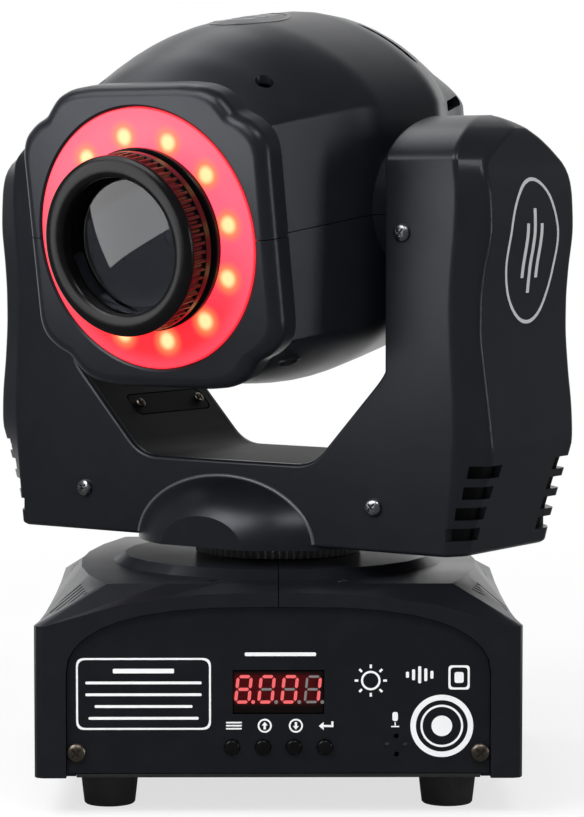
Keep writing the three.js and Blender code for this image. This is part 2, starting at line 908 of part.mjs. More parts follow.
function basePlate() {
  const halfX = baseHalfWidth - baseSideWall - clearance;
  const halfY = baseHalfDepth - baseEndWall - clearance;
  const tabX = panelHalfWidth - panelLedge - clearance;
  const footX = baseHalfWidth - footInset;
  const footY = baseHalfDepth - footInset;
  const plate = prism('z', roundRectangle(halfX, halfY, baseCornerRadius), 0, plateThickness);
  const tabs = block(-tabX, tabX, -panelFrontY, panelFrontY, 0, plateThickness);
  const bead = cut(bracketPad(bracketBeadWidth), bracketPad(0));
  const bracketHole = rod('z', bracketHoleRadius, -overrun, plateThickness + overrun);
  const holes = [];
  for (const side of [-1, 1]) {
    holes.push(moved(bracketHole, (side * bracketHoleSpacing) / 2, 0, 0));
    for (const end of [-1, 1]) {
      const hole = rod('z', footScrewRadius / 2, -overrun, plateThickness + overrun, pinSteps);
      holes.push(moved(hole, side * footX, end * footY, 0));
    }
  }
  for (let i = 0; i < plateVentCount; i += 1) {
    const y = plateVentY + (i - (plateVentCount - 1) / 2) * plateVentPitch;
    holes.push(block(
      -plateVentLength / 2,
      plateVentLength / 2,
      y - plateVentWidth / 2,
      y + plateVentWidth / 2,
      -overrun,
      plateThickness + overrun,
    ));
  }
  return piece('base_plate', cut(join(plate, tabs), bead, ...holes), blackSteel);
}

function rubberFeet() {
  const foot = cut(
    revolve('z', [[0, -footHeight], [footFloorRadius, -footHeight], [footTopRadius, 0], [0, 0]]),
    rod('z', footScrewRadius, -footHeight - overrun, -footHeight + footScrewDepth),
  );
  const places = { front_left: [-1, -1], front_right: [1, -1], rear_left: [-1, 1], rear_right: [1, 1] };
  return Object.entries(places).map(([name, [sx, sy]]) => {
    const mesh = piece(`foot_${name}`, foot, rubber);
    mesh.position.set(sx * (baseHalfWidth - footInset), sy * (baseHalfDepth - footInset), 0);
    return mesh;
  });
}

/** The blank of a panel, with its two screw holes and any others, at the given end. */
function panelBlank(holes) {
  const screwHoles = [-1, 1].map((side) => roundHole(
    side * panelScrewX,
    panelScrewHeight,
    panelScrewRadius,
    smallSteps,
  ));
  return prism('y', archOutline(clearance, panelBottom), -panelFrontY, -panelBackY, [...screwHoles, ...holes]);
}

function buttonPlaces() {
  const names = ['menu_button', 'up_button', 'down_button', 'enter_button'];
  return names.map((name, i) => [name, (i - (names.length - 1) / 2) * buttonPitch]);
}

function microphoneHoles() {
  return [0, 1, 2, 3].map((i) => {
    const angle = i * quarterTurn;
    return roundHole(
      microphoneX + microphoneHoleCircle * Math.cos(angle),
      microphoneHeight + microphoneHoleCircle * Math.sin(angle),
      microphoneHoleRadius,
      pinSteps,
    );
  });
}

function frontPanel() {
  const window = rectangle(
    -displayHalfWidth,
    displayHalfWidth,
    displayCentreHeight - displayHeight / 2,
    displayCentreHeight + displayHeight / 2,
  ).reverse();
  const buttonHoles = buttonPlaces().map(([, x]) => roundHole(
    x,
    buttonHeight,
    buttonRadius + clearance,
    archSteps,
  ));
  const body = panelBlank([holeOf(window), ...buttonHoles, ...microphoneHoles()]);
  return piece('front_panel', body, darkPlastic);
}

function displayModule() {
  const inset = displayHeight / 2 - clearance;
  const body = block(
    -displayHalfWidth + clearance,
    displayHalfWidth - clearance,
    -panelFrontY + displayRecess,
    -boardFrontY - clearance,
    displayCentreHeight - inset,
    displayCentreHeight + inset,
  );
  return piece('display_module', body, displayRed);
}

/** The circuit board behind the front panel, with the switches that the buttons press. */
function controlBoard() {
  const board = block(
    -boardHalfWidth,
    boardHalfWidth,
    -boardFrontY,
    -boardFrontY + boardThickness,
    boardBottom,
    boardTop,
  );
  const switches = buttonPlaces().map(([, x]) => block(
    x - switchHalfWidth,
    x + switchHalfWidth,
    -boardFrontY - switchHeight,
    -boardFrontY + boardThickness / 2,
    buttonHeight - switchHalfWidth,
    buttonHeight + switchHalfWidth,
  ));
  return piece('control_board', join(board, ...switches), circuitGreen);
}

function buttons() {
  const flangeFront = -panelBackY + clearance;
  const flangeBack = flangeFront + buttonFlangeThickness;
  const cap = -panelFrontY - buttonProud;
  const body = revolve('y', [
    [0, cap - buttonDome],
    [buttonRadius * buttonCrownShare, cap],
    [buttonRadius, cap + buttonDome],
    [buttonRadius, flangeFront],
    [buttonRadius + buttonFlange, flangeFront],
    [buttonRadius + buttonFlange, flangeBack],
    [buttonRadius / 2, flangeBack],
    [buttonRadius / 2, flangeBack + buttonStem],
    [0, flangeBack + buttonStem],
  ], archSteps);
  return buttonPlaces().map(([name, x]) => {
    const mesh = piece(name, body, rubber);
    mesh.position.set(x, 0, buttonHeight);
    return mesh;
  });
}

function microphone() {
  const body = rod('y', microphoneRadius, -panelBackY + clearance, -boardFrontY - clearance);
  return piece('microphone', moved(body, microphoneX, 0, microphoneHeight), zincSteel);
}

/** The places across the rear panel of the inlet, the fuse holder and the two data sockets. */
function socketPlaces() {
  const inletWidth = 2 * (inletHalfWidth + inletFlangeEdge);
  const widths = [inletWidth, 2 * fuseCapRadius, 2 * signalFlangeHalfWidth, 2 * signalFlangeHalfWidth];
  const room = 2 * panelHalfWidth - widths.reduce((sum, width) => sum + width);
  let edge = -panelHalfWidth;
  return widths.map((width, i) => {
    const left = edge + socketGapShares[i] * room;
    edge = left + width;
    return left + width / 2;
  });
}

function rearPanel() {
  const [inletX, fuseX, ...signalPlaces] = socketPlaces();
  const inletHole = holeOf(rectangle(
    inletX - inletHalfWidth - clearance,
    inletX + inletHalfWidth + clearance,
    socketHeight - inletHalfHeight - clearance,
    socketHeight + inletHalfHeight + clearance,
  ).reverse());
  const signalHoles = signalPlaces.map((x) => (
    roundHole(x, socketHeight, signalRadius + clearance, roundSteps)
  ));
  const fuseHole = roundHole(fuseX, socketHeight, fuseRadius + clearance);
  const body = mirrored(panelBlank([inletHole, fuseHole, ...signalHoles]), 'y');
  return piece('rear_panel', body, blackSteel);
}

/** The mains inlet: a flanged box with three flat pins in its cavity. */
function powerInlet() {
  const flangeY = panelFrontY + clearance;
  const outY = flangeY + inletFlangeThickness;
  const flange = prism('y', roundRectangle(
    inletHalfWidth + inletFlangeEdge,
    inletHalfHeight + inletFlangeEdge,
    inletFlangeEdge,
  ), flangeY, outY);
  const body = block(-inletHalfWidth, inletHalfWidth, outY - inletDepth, outY, -inletHalfHeight, inletHalfHeight);
  const cavityX = inletHalfWidth - inletWall;
  const cavityZ = inletHalfHeight - inletWall;
  const cavity = prism('y', [
    [-cavityX, -cavityZ],
    [cavityX, -cavityZ],
    [cavityX, cavityZ / 2],
    [cavityX - cavityZ / 2, cavityZ],
    [-cavityX + cavityZ / 2, cavityZ],
    [-cavityX, cavityZ / 2],
  ], outY - inletCavityDepth, outY + overrun);
  const pinBack = outY - inletCavityDepth - overrun;
  const pin = block(
    -inletPinThickness / 2,
    inletPinThickness / 2,
    pinBack,
    pinBack + overrun + inletPinLength,
    -inletPinWidth / 2,
    inletPinWidth / 2,
  );
  const pins = [
    moved(pin, 0, 0, inletPinWidth),
    moved(pin, inletPinSpacing, 0, 0),
    moved(pin, -inletPinSpacing, 0, 0),
  ];
  const mesh = piece('power_inlet', join(cut(join(flange, body), cavity), ...pins), darkPlastic);
  mesh.position.set(socketPlaces()[0], 0, socketHeight);
  return mesh;
}

function fuseHolder() {
  const capY = panelFrontY + clearance;
  const endY = capY + fuseCapHeight - fuseLength;
  const body = revolve('y', [
    [0, endY],
    [fuseRadius, endY],
    [fuseRadius, capY],
    [fuseCapRadius, capY],
    [fuseCapRadius, capY + fuseCapHeight * fuseCapShare],
    [fuseRadius, capY + fuseCapHeight],
    [0, capY + fuseCapHeight],
  ], smallSteps);
  const slot = block(
    -fuseRadius * fuseSlotShare,
    fuseRadius * fuseSlotShare,
    capY + fuseCapHeight * fuseCapShare,
    capY + fuseCapHeight + overrun,
    -fuseSlotWidth / 2,
    fuseSlotWidth / 2,
  );
  return piece('fuse_holder', moved(cut(body, slot), socketPlaces()[1], 0, socketHeight), darkPlastic);
}

/** The flange and barrel that both data sockets share. */
function signalBody(outY) {
  const flange = prism('y', roundRectangle(
    signalFlangeHalfWidth,
    signalFlangeHalfHeight,
    inletFlangeEdge,
  ), panelFrontY + clearance, outY);
  return join(flange, rod('y', signalRadius, outY - signalDepth, outY, roundSteps));
}

function signalSockets() {
  const outY = panelFrontY + clearance + signalFlangeThickness;
  const floorY = outY - signalCavityDepth;
  const pinPlaces = [0, 1, 2].map((i) => {
    const angle = quarterTurn * (i - 1);
    return [signalPinCircle * Math.sin(angle), -signalPinCircle * Math.cos(angle)];
  });
  const pins = pinPlaces.map(([x, z]) => (
    moved(rod('y', signalPinRadius, floorY - overrun, floorY + signalPinLength, pinSteps), x, 0, z)
  ));
  const cavity = rod('y', signalBoreRadius, floorY, outY + overrun, roundSteps);
  const input = join(cut(signalBody(outY), cavity), ...pins);
  const groove = tube('y', signalBoreRadius, signalInsertRadius, floorY, outY + overrun);
  const pinHoles = pinPlaces.map(([x, z]) => (
    moved(rod('y', signalPinRadius + clearance, floorY, outY + overrun, pinSteps), x, 0, z)
  ));
  const output = cut(signalBody(outY), groove, ...pinHoles);
  const [, , signalInX, signalOutX] = socketPlaces();
  return [
    piece('signal_in_socket', moved(input, signalInX, 0, socketHeight), darkPlastic),
    piece('signal_out_socket', moved(output, signalOutX, 0, socketHeight), darkPlastic),
  ];
}

/** The power supply, a closed metal case with a terminal strip, along the right side. */
function powerSupply() {
  const left = bridgeHalfWidth + bridgeFoot + supplySideGap;
  const right = baseHalfWidth - baseSideWall - 2 * clearance;
  const bottom = plateThickness + clearance;
  const front = -boardFrontY + boardThickness + supplyFrontGap;
  const rear = baseHalfDepth - supplyRearGap;
  const caseBody = block(left, right, front, rear, bottom, bottom + supplyHeight);
  const step = block(
    left - overrun,
    right + overrun,
    rear - supplyTerminalLength,
    rear + overrun,
    bottom + supplyHeight / 2,
    bottom + supplyHeight + overrun,
  );
  return piece('power_supply', cut(caseBody, step), aluminium);
}

/** A stepping motor with its axis along Z, its body's back at height 0. */
function motorBody(size, length, shaftTop) {
  const half = size / 2;
  const near = half - motorCornerCut;
  const outline = [
    [near, -half], [half, -near], [half, near], [near, half],
    [-near, half], [-half, near], [-half, -near], [-near, -half],
  ];
  return join(
    prism('z', outline, 0, length),
    rod('z', motorBossRadius, length - overrun, length + motorBossHeight),
    rod('z', motorShaftRadius, length, shaftTop),
  );
}

/** A flanged belt pulley with its axis along Z, standing on height 0. */
function pulleyBody(radius, height, bore, steps = innerSteps) {
  const rim = radius + pulleyFlange;
  return revolve('z', [
    [bore, 0],
    [rim, 0],
    [rim, pulleyFlangeThickness],
    [radius, pulleyFlangeThickness],
    [radius, height - pulleyFlangeThickness],
    [rim, height - pulleyFlangeThickness],
    [rim, height],
    [bore, height],
  ], steps);
}

/** The outline of a belt round two pulleys, the first at the origin, the second along +u. */
function beltOutline(firstRadius, secondRadius, reach) {
  const lean = Math.acos((firstRadius - secondRadius) / reach);
  const wrap = (centre, radius, from, to, steps) => {
    const outside = radius / Math.cos((to - from) / steps / 2);
    return Array.from({ length: steps + 1 }, (_, i) => {
      const angle = from + ((to - from) * i) / steps;
      return [centre + outside * Math.cos(angle), outside * Math.sin(angle)];
    });
  };
  return [
    ...wrap(0, firstRadius, lean, 2 * Math.PI - lean, roundSteps),
    ...wrap(reach, secondRadius, -lean, lean, pinSteps),
  ];
}

function beltBody(firstRadius, secondRadius, reach, width) {
  const inner = beltOutline(firstRadius + beltGap, secondRadius + beltGap, reach);
  const outer = beltOutline(
    firstRadius + beltGap + beltThickness,
    secondRadius + beltGap + beltThickness,
    reach,
  );
  return prism('z', outer, 0, width, [holeOf(inner.reverse())]);
}

function panDrive() {
  const motorBottom = plateThickness + clearance;
  const shaftTop = panPulleyBottom + panPulleyHeight - motorBottom;
  const motor = moved(motorBody(panMotorSize, panMotorLength, shaftTop), 0, -panBeltReach, motorBottom);
  const beltWidth = panPulleyHeight - 2 * pulleyFlangeThickness - 2 * beltGap;
  const belt = turned(beltBody(panPulleyRadius, panMotorPulleyRadius, panBeltReach, beltWidth), 'z', -quarterTurn);
  const beltBottom = panPulleyBottom + pulleyFlangeThickness + beltGap;
  const small = pulleyBody(panMotorPulleyRadius, panPulleyHeight, motorShaftRadius + clearance, smallSteps);
  return [
    piece('pan_motor', motor, zincSteel),
    piece('pan_belt', moved(belt, 0, 0, beltBottom), belting),
    piece('pan_motor_pulley', moved(small, 0, -panBeltReach, panPulleyBottom), aluminium),
  ];
}

/** The sheet bridge over the pan pulley, which carries the pan bearing. */
function panBridge() {
  const inner = bridgeHalfWidth - bridgeThickness;
  const bottom = plateThickness + clearance;
  const top = bridgeHeight;
  const right = [
    [inner, top - bridgeThickness],
    [inner, bottom],
    [bridgeHalfWidth + bridgeFoot, bottom],
    [bridgeHalfWidth + bridgeFoot, bottom + bridgeThickness],
    [bridgeHalfWidth, bottom + bridgeThickness],
    [bridgeHalfWidth, top],
  ];
  const left = right.map(([x, z]) => [-x, z]).reverse();
  const sheet = prism('y', [...right, ...left], -bridgeHalfDepth, bridgeHalfDepth);
  const hole = rod('z', panBearingRadius + clearance, top - bridgeThickness - overrun, top + overrun, roundSteps);
  const middle = top - bridgeThickness / 2;
  const bearing = tube(
    'z',
    panBearingRadius,
    spindleRadius + clearance,
    middle - bearingWidth / 2,
    middle + bearingWidth / 2,
    roundSteps,
  );
  return [piece('pan_bridge', cut(sheet, hole), zincSteel), piece('pan_bearing', bearing, brightSteel)];
}

// Yoke, in its own frame: the pan axis is Z and the front face looks to -Y

/** A line of points with each inner corner rounded off. */
function roundedLine(points, radius) {
  return points.flatMap((point, i) => {
    if (i === 0 || i === points.length - 1) return [point];
    const back = unit(point, points[i - 1]);
    const ahead = unit(point, points[i + 1]);
    const start = new THREE.Vector2(point[0] + back[0] * radius, point[1] + back[1] * radius);
    const end = new THREE.Vector2(point[0] + ahead[0] * radius, point[1] + ahead[1] * radius);
    const curve = new THREE.QuadraticBezierCurve(start, new THREE.Vector2(...point), end);
    return curve.getPoints(3).map((p) => [p.x, p.y]);
  });
}

/** The inside line of the yoke's U, from the top of the left arm to the top of the right. */
function yokeInnerLine(top) {
  const right = [[gussetFoot, beamTop], [armInnerX, gussetTop], [armInnerX, top]];
  const left = right.map(([x, z]) => [-x, z]).reverse();
  return roundedLine([...left, ...right], yokeFillet);
}

/** Half the depth of an arm at a height above its spring, where the rounded top begins. */
function archHalfDepth(share, inset) {
  return (yokeHalfDepth - inset) * (1 - share ** armArchShare);
}

/** Level sections of the right arm from the beam to the crown, drawn in by an inset. */
function armSections(inset, innerX) {
  const section = (z, strip, depth, reach, outerDepth) => {
    const corners = [
      [innerX, -depth], [strip, -depth], [reach, -outerDepth],
      [reach, outerDepth], [strip, depth], [innerX, depth],
    ];
    return corners.map(([x, y]) => new THREE.Vector3(x, y, z));
  };
  const bottom = beamBottom + inset;
  const side = armSideShares.map(([height, strip, reach, outerDepth]) => section(
    bottom + height * (armSpring - bottom),
    strip * armReach - inset,
    yokeHalfDepth - inset,
    reach * armReach - inset,
    outerDepth * yokeHalfDepth - inset / 2,
  ));
  const crown = armArchShares.map(([height, strip, reach, outerDepth]) => section(
    armSpring + height * (armCrown - inset - armSpring),
    strip * armReach - inset,
    archHalfDepth(height, inset),
    reach * armReach - inset,
    outerDepth * archHalfDepth(height, inset),
  ));
  return [...side, ...crown];
}

/** The bell that bulges from the beam round the pan axis, drawn in by an inset. */
function bellBody(inset) {
  const bottom = bellBottom + inset;
  const profile = [[0, bottom]];
  for (let i = 0; i <= bellSteps; i += 1) {
    const angle = (quarterTurn * i) / bellSteps;
    const radius = (bellRadius - inset) * Math.cos(angle);
    profile.push([i === bellSteps ? 0 : radius, bottom + (bellVerticalRadius - inset) * Math.sin(angle)]);
  }
  const flat = bellFlat - inset;
  const slab = block(-bellRadius, bellRadius, -flat, flat, bottom - overrun, beamTop - inset);
  return revolve('z', profile).intersect(slab);
}

function yokeShell() {
  const top = gussetTop + gussetLap;
  const line = yokeInnerLine(top);
  const joint = armInnerX + gussetLap;
  const beam = prism('y', [
    ...line,
    [joint, top],
    [joint, beamBottom],
    [-joint, beamBottom],
    [-joint, top],
  ], -yokeHalfDepth, yokeHalfDepth);
  const arm = loft(armSections(0, armInnerX));
  const inside = yokeHalfDepth - yokeWall;
  const hollow = prism('y', [
    ...shiftLine(line, -overrun),
    [joint + overrun, top],
    [joint + overrun, beamBottom + yokeWall],
    [-joint - overrun, beamBottom + yokeWall],
    [-joint - overrun, top],
  ], -inside, inside);
  const armHollow = loft(armSections(yokeWall, armInnerX - overrun));
  const bore = rod('z', bellBore, bellBottom - overrun, bellBottom + yokeWall + overrun, roundSteps);
  const vents = armVents();
  const outer = join(beam, arm, mirrored(arm, 'x'), bellBody(0));
  const body = cut(
    outer,
    join(hollow, armHollow, mirrored(armHollow, 'x'), bellBody(yokeWall)),
    bore,
    vents,
    mirrored(vents, 'x'),
  );
  return piece('yoke_shell', body, blackPlastic);
}

/** The stacked slots in the lower corners of the right arm, front and rear. */
function armVents() {
  const slots = [];
  for (let i = 0; i < armVentCount; i += 1) {
    const top = tiltHeight - armVentTopDrop - i * armVentPitch;
    const near = armReach - armVentInset;
    slots.push(block(near, armReach + overrun, -armVentFar, -armVentNear, top - armVentHeight, top));
    slots.push(block(near, armReach + overrun, armVentNear, armVentFar, top - armVentHeight, top));
  }
  return join(...slots);
}

/** The liner that closes the inside of the U, with the round bosses that face the head. */
function yokeLiner() {
  const inset = yokeWall + clearance;
  const depth = yokeHalfDepth - inset;
  const line = yokeInnerLine(armCrown);
  const strip = prism('y', [...line, ...shiftLine(line, linerThickness).reverse()], -depth, depth);
  const arch = [[-depth, armSpring], [-depth, beamBottom], [depth, beamBottom], [depth, armSpring]];
  const shares = armArchShares.map(([height]) => height);
  const rise = armCrown - inset - armSpring;
  for (const share of shares) arch.push([archHalfDepth(share, inset), armSpring + share * rise]);
  for (const share of [...shares].reverse()) arch.push([-archHalfDepth(share, inset), armSpring + share * rise]);
  const limit = prism('x', arch, -armReach, armReach);
  const boss = moved(
    rod('x', pivotBossRadius, armInnerX - pivotBossHeight, armInnerX + linerThickness / 2, fineSteps),
    0,
    0,
    tiltHeight,
  );
  const bore = moved(rod('x', pivotBoreRadius, -armReach, armReach, roundSteps), 0, 0, tiltHeight);
  const pocket = cablePlateBody(clearance, cablePlateThickness + overrun);
  const body = cut(join(strip.intersect(limit), boss, mirrored(boss, 'x')), bore, pocket);
  return piece('yoke_liner', body, blackPlastic);
}

/** The oblong plate sunk in the left slope of the liner, grown by a margin all round. */
function cablePlateBody(margin, thickness) {
  const run = armInnerX - gussetFoot;
  const rise = gussetTop - beamTop;
  const outline = roundRectangle(
    cablePlateLength / 2 + margin,
    cablePlateWidth / 2 + margin,
    cablePlateCorner,
  );
  const share = (cablePlateHeight - beamTop) / rise;
  const flat = prism('x', outline, -cablePlateThickness - margin, thickness - cablePlateThickness);
  return moved(
    turned(flat, 'y', -Math.atan2(run, rise)),
    -gussetFoot - share * run,
    cablePlateY,
    cablePlateHeight,
  );
}

function yokeBracket() {
  const top = tiltHeight + bracketRise;
  const right = [
    [bracketInnerX, bracketFloor + bracketThickness],
    [bracketInnerX, top],
    [bracketOuterX, top],
    [bracketOuterX, bracketFloor],
  ];
  const left = right.map(([x, z]) => [-x, z]).reverse();
  const sheet = prism('y', [...left, ...right].reverse(), -bracketHalfDepth, bracketHalfDepth);
  const bearingHole = moved(
    rod('x', bearingRadius + clearance, -armReach, armReach, roundSteps),
    0,
    0,
    tiltHeight,
  );
  const cableHole = rod('z', spindleBore, bracketFloor - overrun, bracketFloor + bracketThickness + overrun);
  return piece('yoke_bracket', cut(sheet, bearingHole, cableHole), zincSteel);
}

function panSpindle() {
  const bottom = panPulleyBottom - clearance;
  const flangeBottom = bellBottom + yokeWall + clearance;
  const top = flangeBottom + spindleFlangeHeight;
  const body = revolve('z', [
    [spindleBore, bottom],
    [spindleRadius, bottom],
    [spindleRadius, flangeBottom],
    [spindleFlangeRadius, flangeBottom],
    [spindleFlangeRadius, top],
    [spindleBore, top],
  ]);
  const pulley = pulleyBody(panPulleyRadius, panPulleyHeight, spindleRadius + clearance);
  return [
    piece('pan_spindle', body, brightSteel),
    piece('pan_pulley', moved(pulley, 0, 0, panPulleyBottom), aluminium),
  ];
}

/** A ring outline with pointed teeth, as pairs round the origin. */
function toothedOutline(radius, depth, count) {
  const points = [];
  for (let i = 0; i < count; i += 1) {
    const pitch = (2 * Math.PI) / count;
    for (const [share, drop] of toothShares) {
      const angle = pitch * (i + share);
      points.push([(radius - depth * drop) * Math.cos(angle), (radius - depth * drop) * Math.sin(angle)]);
    }
  }
  return points;
}

function panCollar() {
  const hole = roundHole(0, 0, collarBore);
  const outline = toothedOutline(collarRadius, collarToothDepth, collarToothCount);
  return piece('pan_collar', prism('z', outline, collarBottom, collarBottom + collarHeight, [hole]), blackPlastic);
}

function cablePlate() {
  return piece('cable_plate', cablePlateBody(0, cablePlateThickness), darkPlastic);
}

function tiltDrive() {
  const motorZ = tiltHeight - tiltBeltReach;
  const endX = tiltPulleyX + tiltPulleyWidth;
  const lay = (body, x, z) => moved(turned(body, 'y', quarterTurn), x, 0, z);
  const motor = motorBody(tiltMotorSize, tiltMotorLength, endX - tiltMotorX);
  const beltWidth = tiltPulleyWidth - 2 * pulleyFlangeThickness - 2 * beltGap;
  const belt = beltBody(tiltPulleyRadius, motorPulleyRadius, tiltBeltReach, beltWidth);
  const small = pulleyBody(motorPulleyRadius, tiltPulleyWidth, motorShaftRadius + clearance, smallSteps);
  return [
    piece('tilt_motor', lay(motor, tiltMotorX, motorZ), zincSteel),
    piece('tilt_belt', lay(belt, tiltPulleyX + pulleyFlangeThickness + beltGap, tiltHeight), belting),
    piece('tilt_motor_pulley', lay(small, tiltPulleyX, motorZ), aluminium),
  ];
}

function tiltBearings() {
  const middle = (bracketInnerX + bracketOuterX) / 2;
  const body = moved(tube(
    'x',
    bearingRadius,
    axleRadius + clearance,
    middle - tiltBearingWidth / 2,
    middle + tiltBearingWidth / 2,
  ), 0, 0, tiltHeight);
  return [
    piece('tilt_bearing_left', mirrored(body, 'x'), brightSteel),
    piece('tilt_bearing_right', body, brightSteel),
  ];
}

// Head, in its own frame: the tilt axis is X, the lens axis is Y and the lens looks to -Y

/** Cross-sections of the head behind its bezel, drawn in by an inset. */
function headSections(inset, start) {
  const end = headRear - inset;
  const steps = inset > 0 ? innerArchSteps : archSteps;
  return headShares.map(([place, width, top, bottom, side]) => {
    const y = start + place * (end - start);
    const halfWidth = width * headHalfWidth - inset;
    const flat = side * headTop - inset / 2;
    const ring = [];
    for (const [direction, height] of [[1, top * headTop], [-1, bottom * headBottom]]) {
      for (let i = 0; i <= steps; i += 1) {
        const angle = (Math.PI * i) / steps;
        const across = direction * Math.sign(Math.cos(angle)) * Math.abs(Math.cos(angle)) ** headArchShare;
        const up = Math.abs(Math.sin(angle)) ** headArchShare;
        ring.push(new THREE.Vector3(
          across * halfWidth,
          y,
          direction * (flat + (height - inset - flat) * up),
        ));
      }
    }
    return ring;
  });
}

function bezelOutline() {
  const quarter = bezelShares.map(([u, v]) => [u * bezelHalfWidth, v * bezelHalfHeight]);
  const upper = [...quarter, ...quarter.map(([u, v]) => [-u, v]).reverse()];
  return [...upper, ...upper.map(([u, v]) => [u, -v]).reverse()];
}

/** The boss on the right side of the head that the tilt axle passes through. */
function headBoss() {
  const inner = headHalfWidth - 2 * headWall;
  const body = rod('x', headBossRadius, inner, headBossX, fineSteps);
  const core = tube(
    'x',
    headBossRadius - headWall,
    axleRadius + clearance + headWall,
    inner - overrun,
    headBossX - headWall,
  );
  return cut(body, core);
}

/** The curved slots in the rear right corner of the head, above and below the middle. */
function cornerVents() {
  const slot = turned(block(
    -headVentReach,
    headVentReach,
    -headVentLength / 2,
    headVentLength / 2,
    -headVentHeight / 2,
    headVentHeight / 2,
  ), 'z', headVentAngle);
  const slots = [];
  for (let i = 0; i < headVentCount; i += 1) {
    const height = headVentStart + i * headVentPitch;
    slots.push(moved(slot, headVentX, headVentY, height), moved(slot, headVentX, headVentY, -height));
  }
  return join(...slots);
}

/** The slots of the air outlet in the rear face. */
function rearGrille() {
  const slots = [];
  for (let height = grilleSlotStart; height < grilleRadius; height += grilleSlotPitch) {
    const half = Math.sqrt(grilleRadius * grilleRadius - height * height);
    for (const z of [height, -height]) {
      slots.push(block(
        -half,
        half,
        headRear - headWall - overrun,
        headRear + overrun,
        z - grilleSlotHeight / 2,
        z + grilleSlotHeight / 2,
      ));
    }
  }
  return join(...slots);
}

/** The closed outside of the head with its side bosses. */
function headOutside() {
  const boss = headBoss();
  return join(
    prism('y', bezelOutline(), -headFront, bezelRearY, [], bezelBevel),
    loft(headSections(0, bezelRearY - overrun)),
    boss,
    mirrored(boss, 'x'),
  );
}

/** Everything that is cut from the head: lens opening, air slots, axle holes and the inside. */
function headOpenings() {
  const core = tube(
    'x',
    headBossRadius - headWall,
    axleRadius + clearance + headWall,
    headHalfWidth - headWall - overrun,
    headBossX - headWall,
  );
  const vents = cornerVents();
  const roofVent = block(
    roofVentX - roofVentLength / 2,
    roofVentX + roofVentLength / 2,
    roofVentY - roofVentWidth / 2,
    roofVentY + roofVentWidth / 2,
    headTop / 2,
    headTop + overrun,
  );
  return [
    loft(headSections(headWall, bezelRearY)),
    rod('y', ringRadius + clearance, -headFront - overrun, -headFront + ringSeatDepth, fineSteps),
    rod('y', sleeveRadius + clearance, -headFront, bezelRearY + overrun, fineSteps),
    rod('x', axleRadius + clearance, -headBossX - overrun, headBossX + overrun, roundSteps),
    core,
    mirrored(core, 'x'),
    vents,
    mirrored(vents, 'x'),
    roofVent,
    mirrored(roofVent, 'x'),
    rearGrille(),
  ];
}

/** The screw columns near the bezel, cut to the outside, with their wells at both ends. */
function headColumns(outside) {
  const column = rod('z', headScrewRadius + headScrewWall, -headBottom, headTop);
  const pair = [-1, 1].map((side) => moved(column, side * headScrewX, -headScrewY, 0));
  return join(...pair).intersect(outside);
}

function headWells() {
  return [-1, 1].flatMap((side) => [
    moved(rod('z', headScrewRadius, headScrewFloor, headTop), side * headScrewX, -headScrewY, 0),
    moved(rod('z', headScrewRadius, -headBottom, -headScrewFloor), side * headScrewX, -headScrewY, 0),
  ]);
}

function headShells() {
  const outside = headOutside();
  const whole = cut(join(cut(outside, ...headOpenings()), headColumns(outside)), ...headWells());
  const half = (from, to) => whole.intersect(block(
    -headBossX - overrun,
    headBossX + overrun,
    -headFront - overrun,
    headRear + overrun,
    from,
    to,
  ));
  return [
    piece('head_upper_shell', half(clearance / 2, headTop + overrun), blackPlastic),
    piece('head_lower_shell', half(-headBottom - overrun, -clearance / 2), blackPlastic),
  ];
}

function ringDiffuser() {
  const front = -headFront + diffuserRecess;
  const body = tube('y', ringRadius, ringInnerRadius, front, front + diffuserThickness, fineSteps);
  return piece('ring_diffuser', body, redGlow);
}

/** The ring-shaped board behind the diffuser, with its lamps. */
function ringBoard() {
  const seat = -headFront + ringSeatDepth - clearance;
  const board = tube('y', ringRadius - clearance, ringInnerRadius, seat - boardThickness, seat, roundSteps);
  const lamp = block(
    ringLampCircle - ringLampSize / 2,
    ringLampCircle + ringLampSize / 2,
    seat - boardThickness - ringLampHeight,
    seat - boardThickness / 2,
    -ringLampSize / 2,
    ringLampSize / 2,
  );
  const lamps = [];
  for (let i = 0; i < ringLampCount; i += 1) {
    lamps.push(turned(lamp, 'y', ringLampStart + (2 * Math.PI * i) / ringLampCount));
  }
  return piece('ring_board', join(board, ...lamps), circuitGreen);
}

function lensSleeve() {
  const seat = -headFront - clearance / 2;
  const flangeFront = seat - sleeveFlangeThickness;
  const body = revolve('y', [
    [sleeveBore, flangeFront],
    [sleeveRadius + sleeveFlange, flangeFront],
    [sleeveRadius + sleeveFlange, seat],
    [sleeveRadius, seat],
    [sleeveRadius, flangeFront + sleeveLength],
    [sleeveBore, flangeFront + sleeveLength],
  ], roundSteps);
  return piece('lens_sleeve', body, anodised);
}

/** The sliding cell and the lens seated on its inner lip. */
function lensCell() {
  const front = -focusFront + focusLipThickness + clearance;
  const lip = -lensBack + clearance;
  const body = revolve('y', [
    [cellBore, front],
    [cellRadius, front],
    [cellRadius, front + cellLength],
    [cellBore, front + cellLength],
    [cellBore, lip + cellLip],
    [cellBore - cellLip, lip + cellLip],
    [cellBore - cellLip, lip],
    [cellBore, lip],
  ], roundSteps);
  const lensRadius = cellBore - clearance;
  const edge = -lensBack - lensThickness + lensBulge;
  const profile = [[0, -lensBack], [lensRadius, -lensBack], [lensRadius, edge]];
  for (let i = lensSteps - 1; i >= 0; i -= 1) {
    const share = i / lensSteps;
    profile.push([lensRadius * share, edge - lensBulge * (1 - share * share)]);
  }
  return [piece('lens_cell', body, anodised), piece('front_lens', revolve('y', profile, roundSteps), glass)];
}

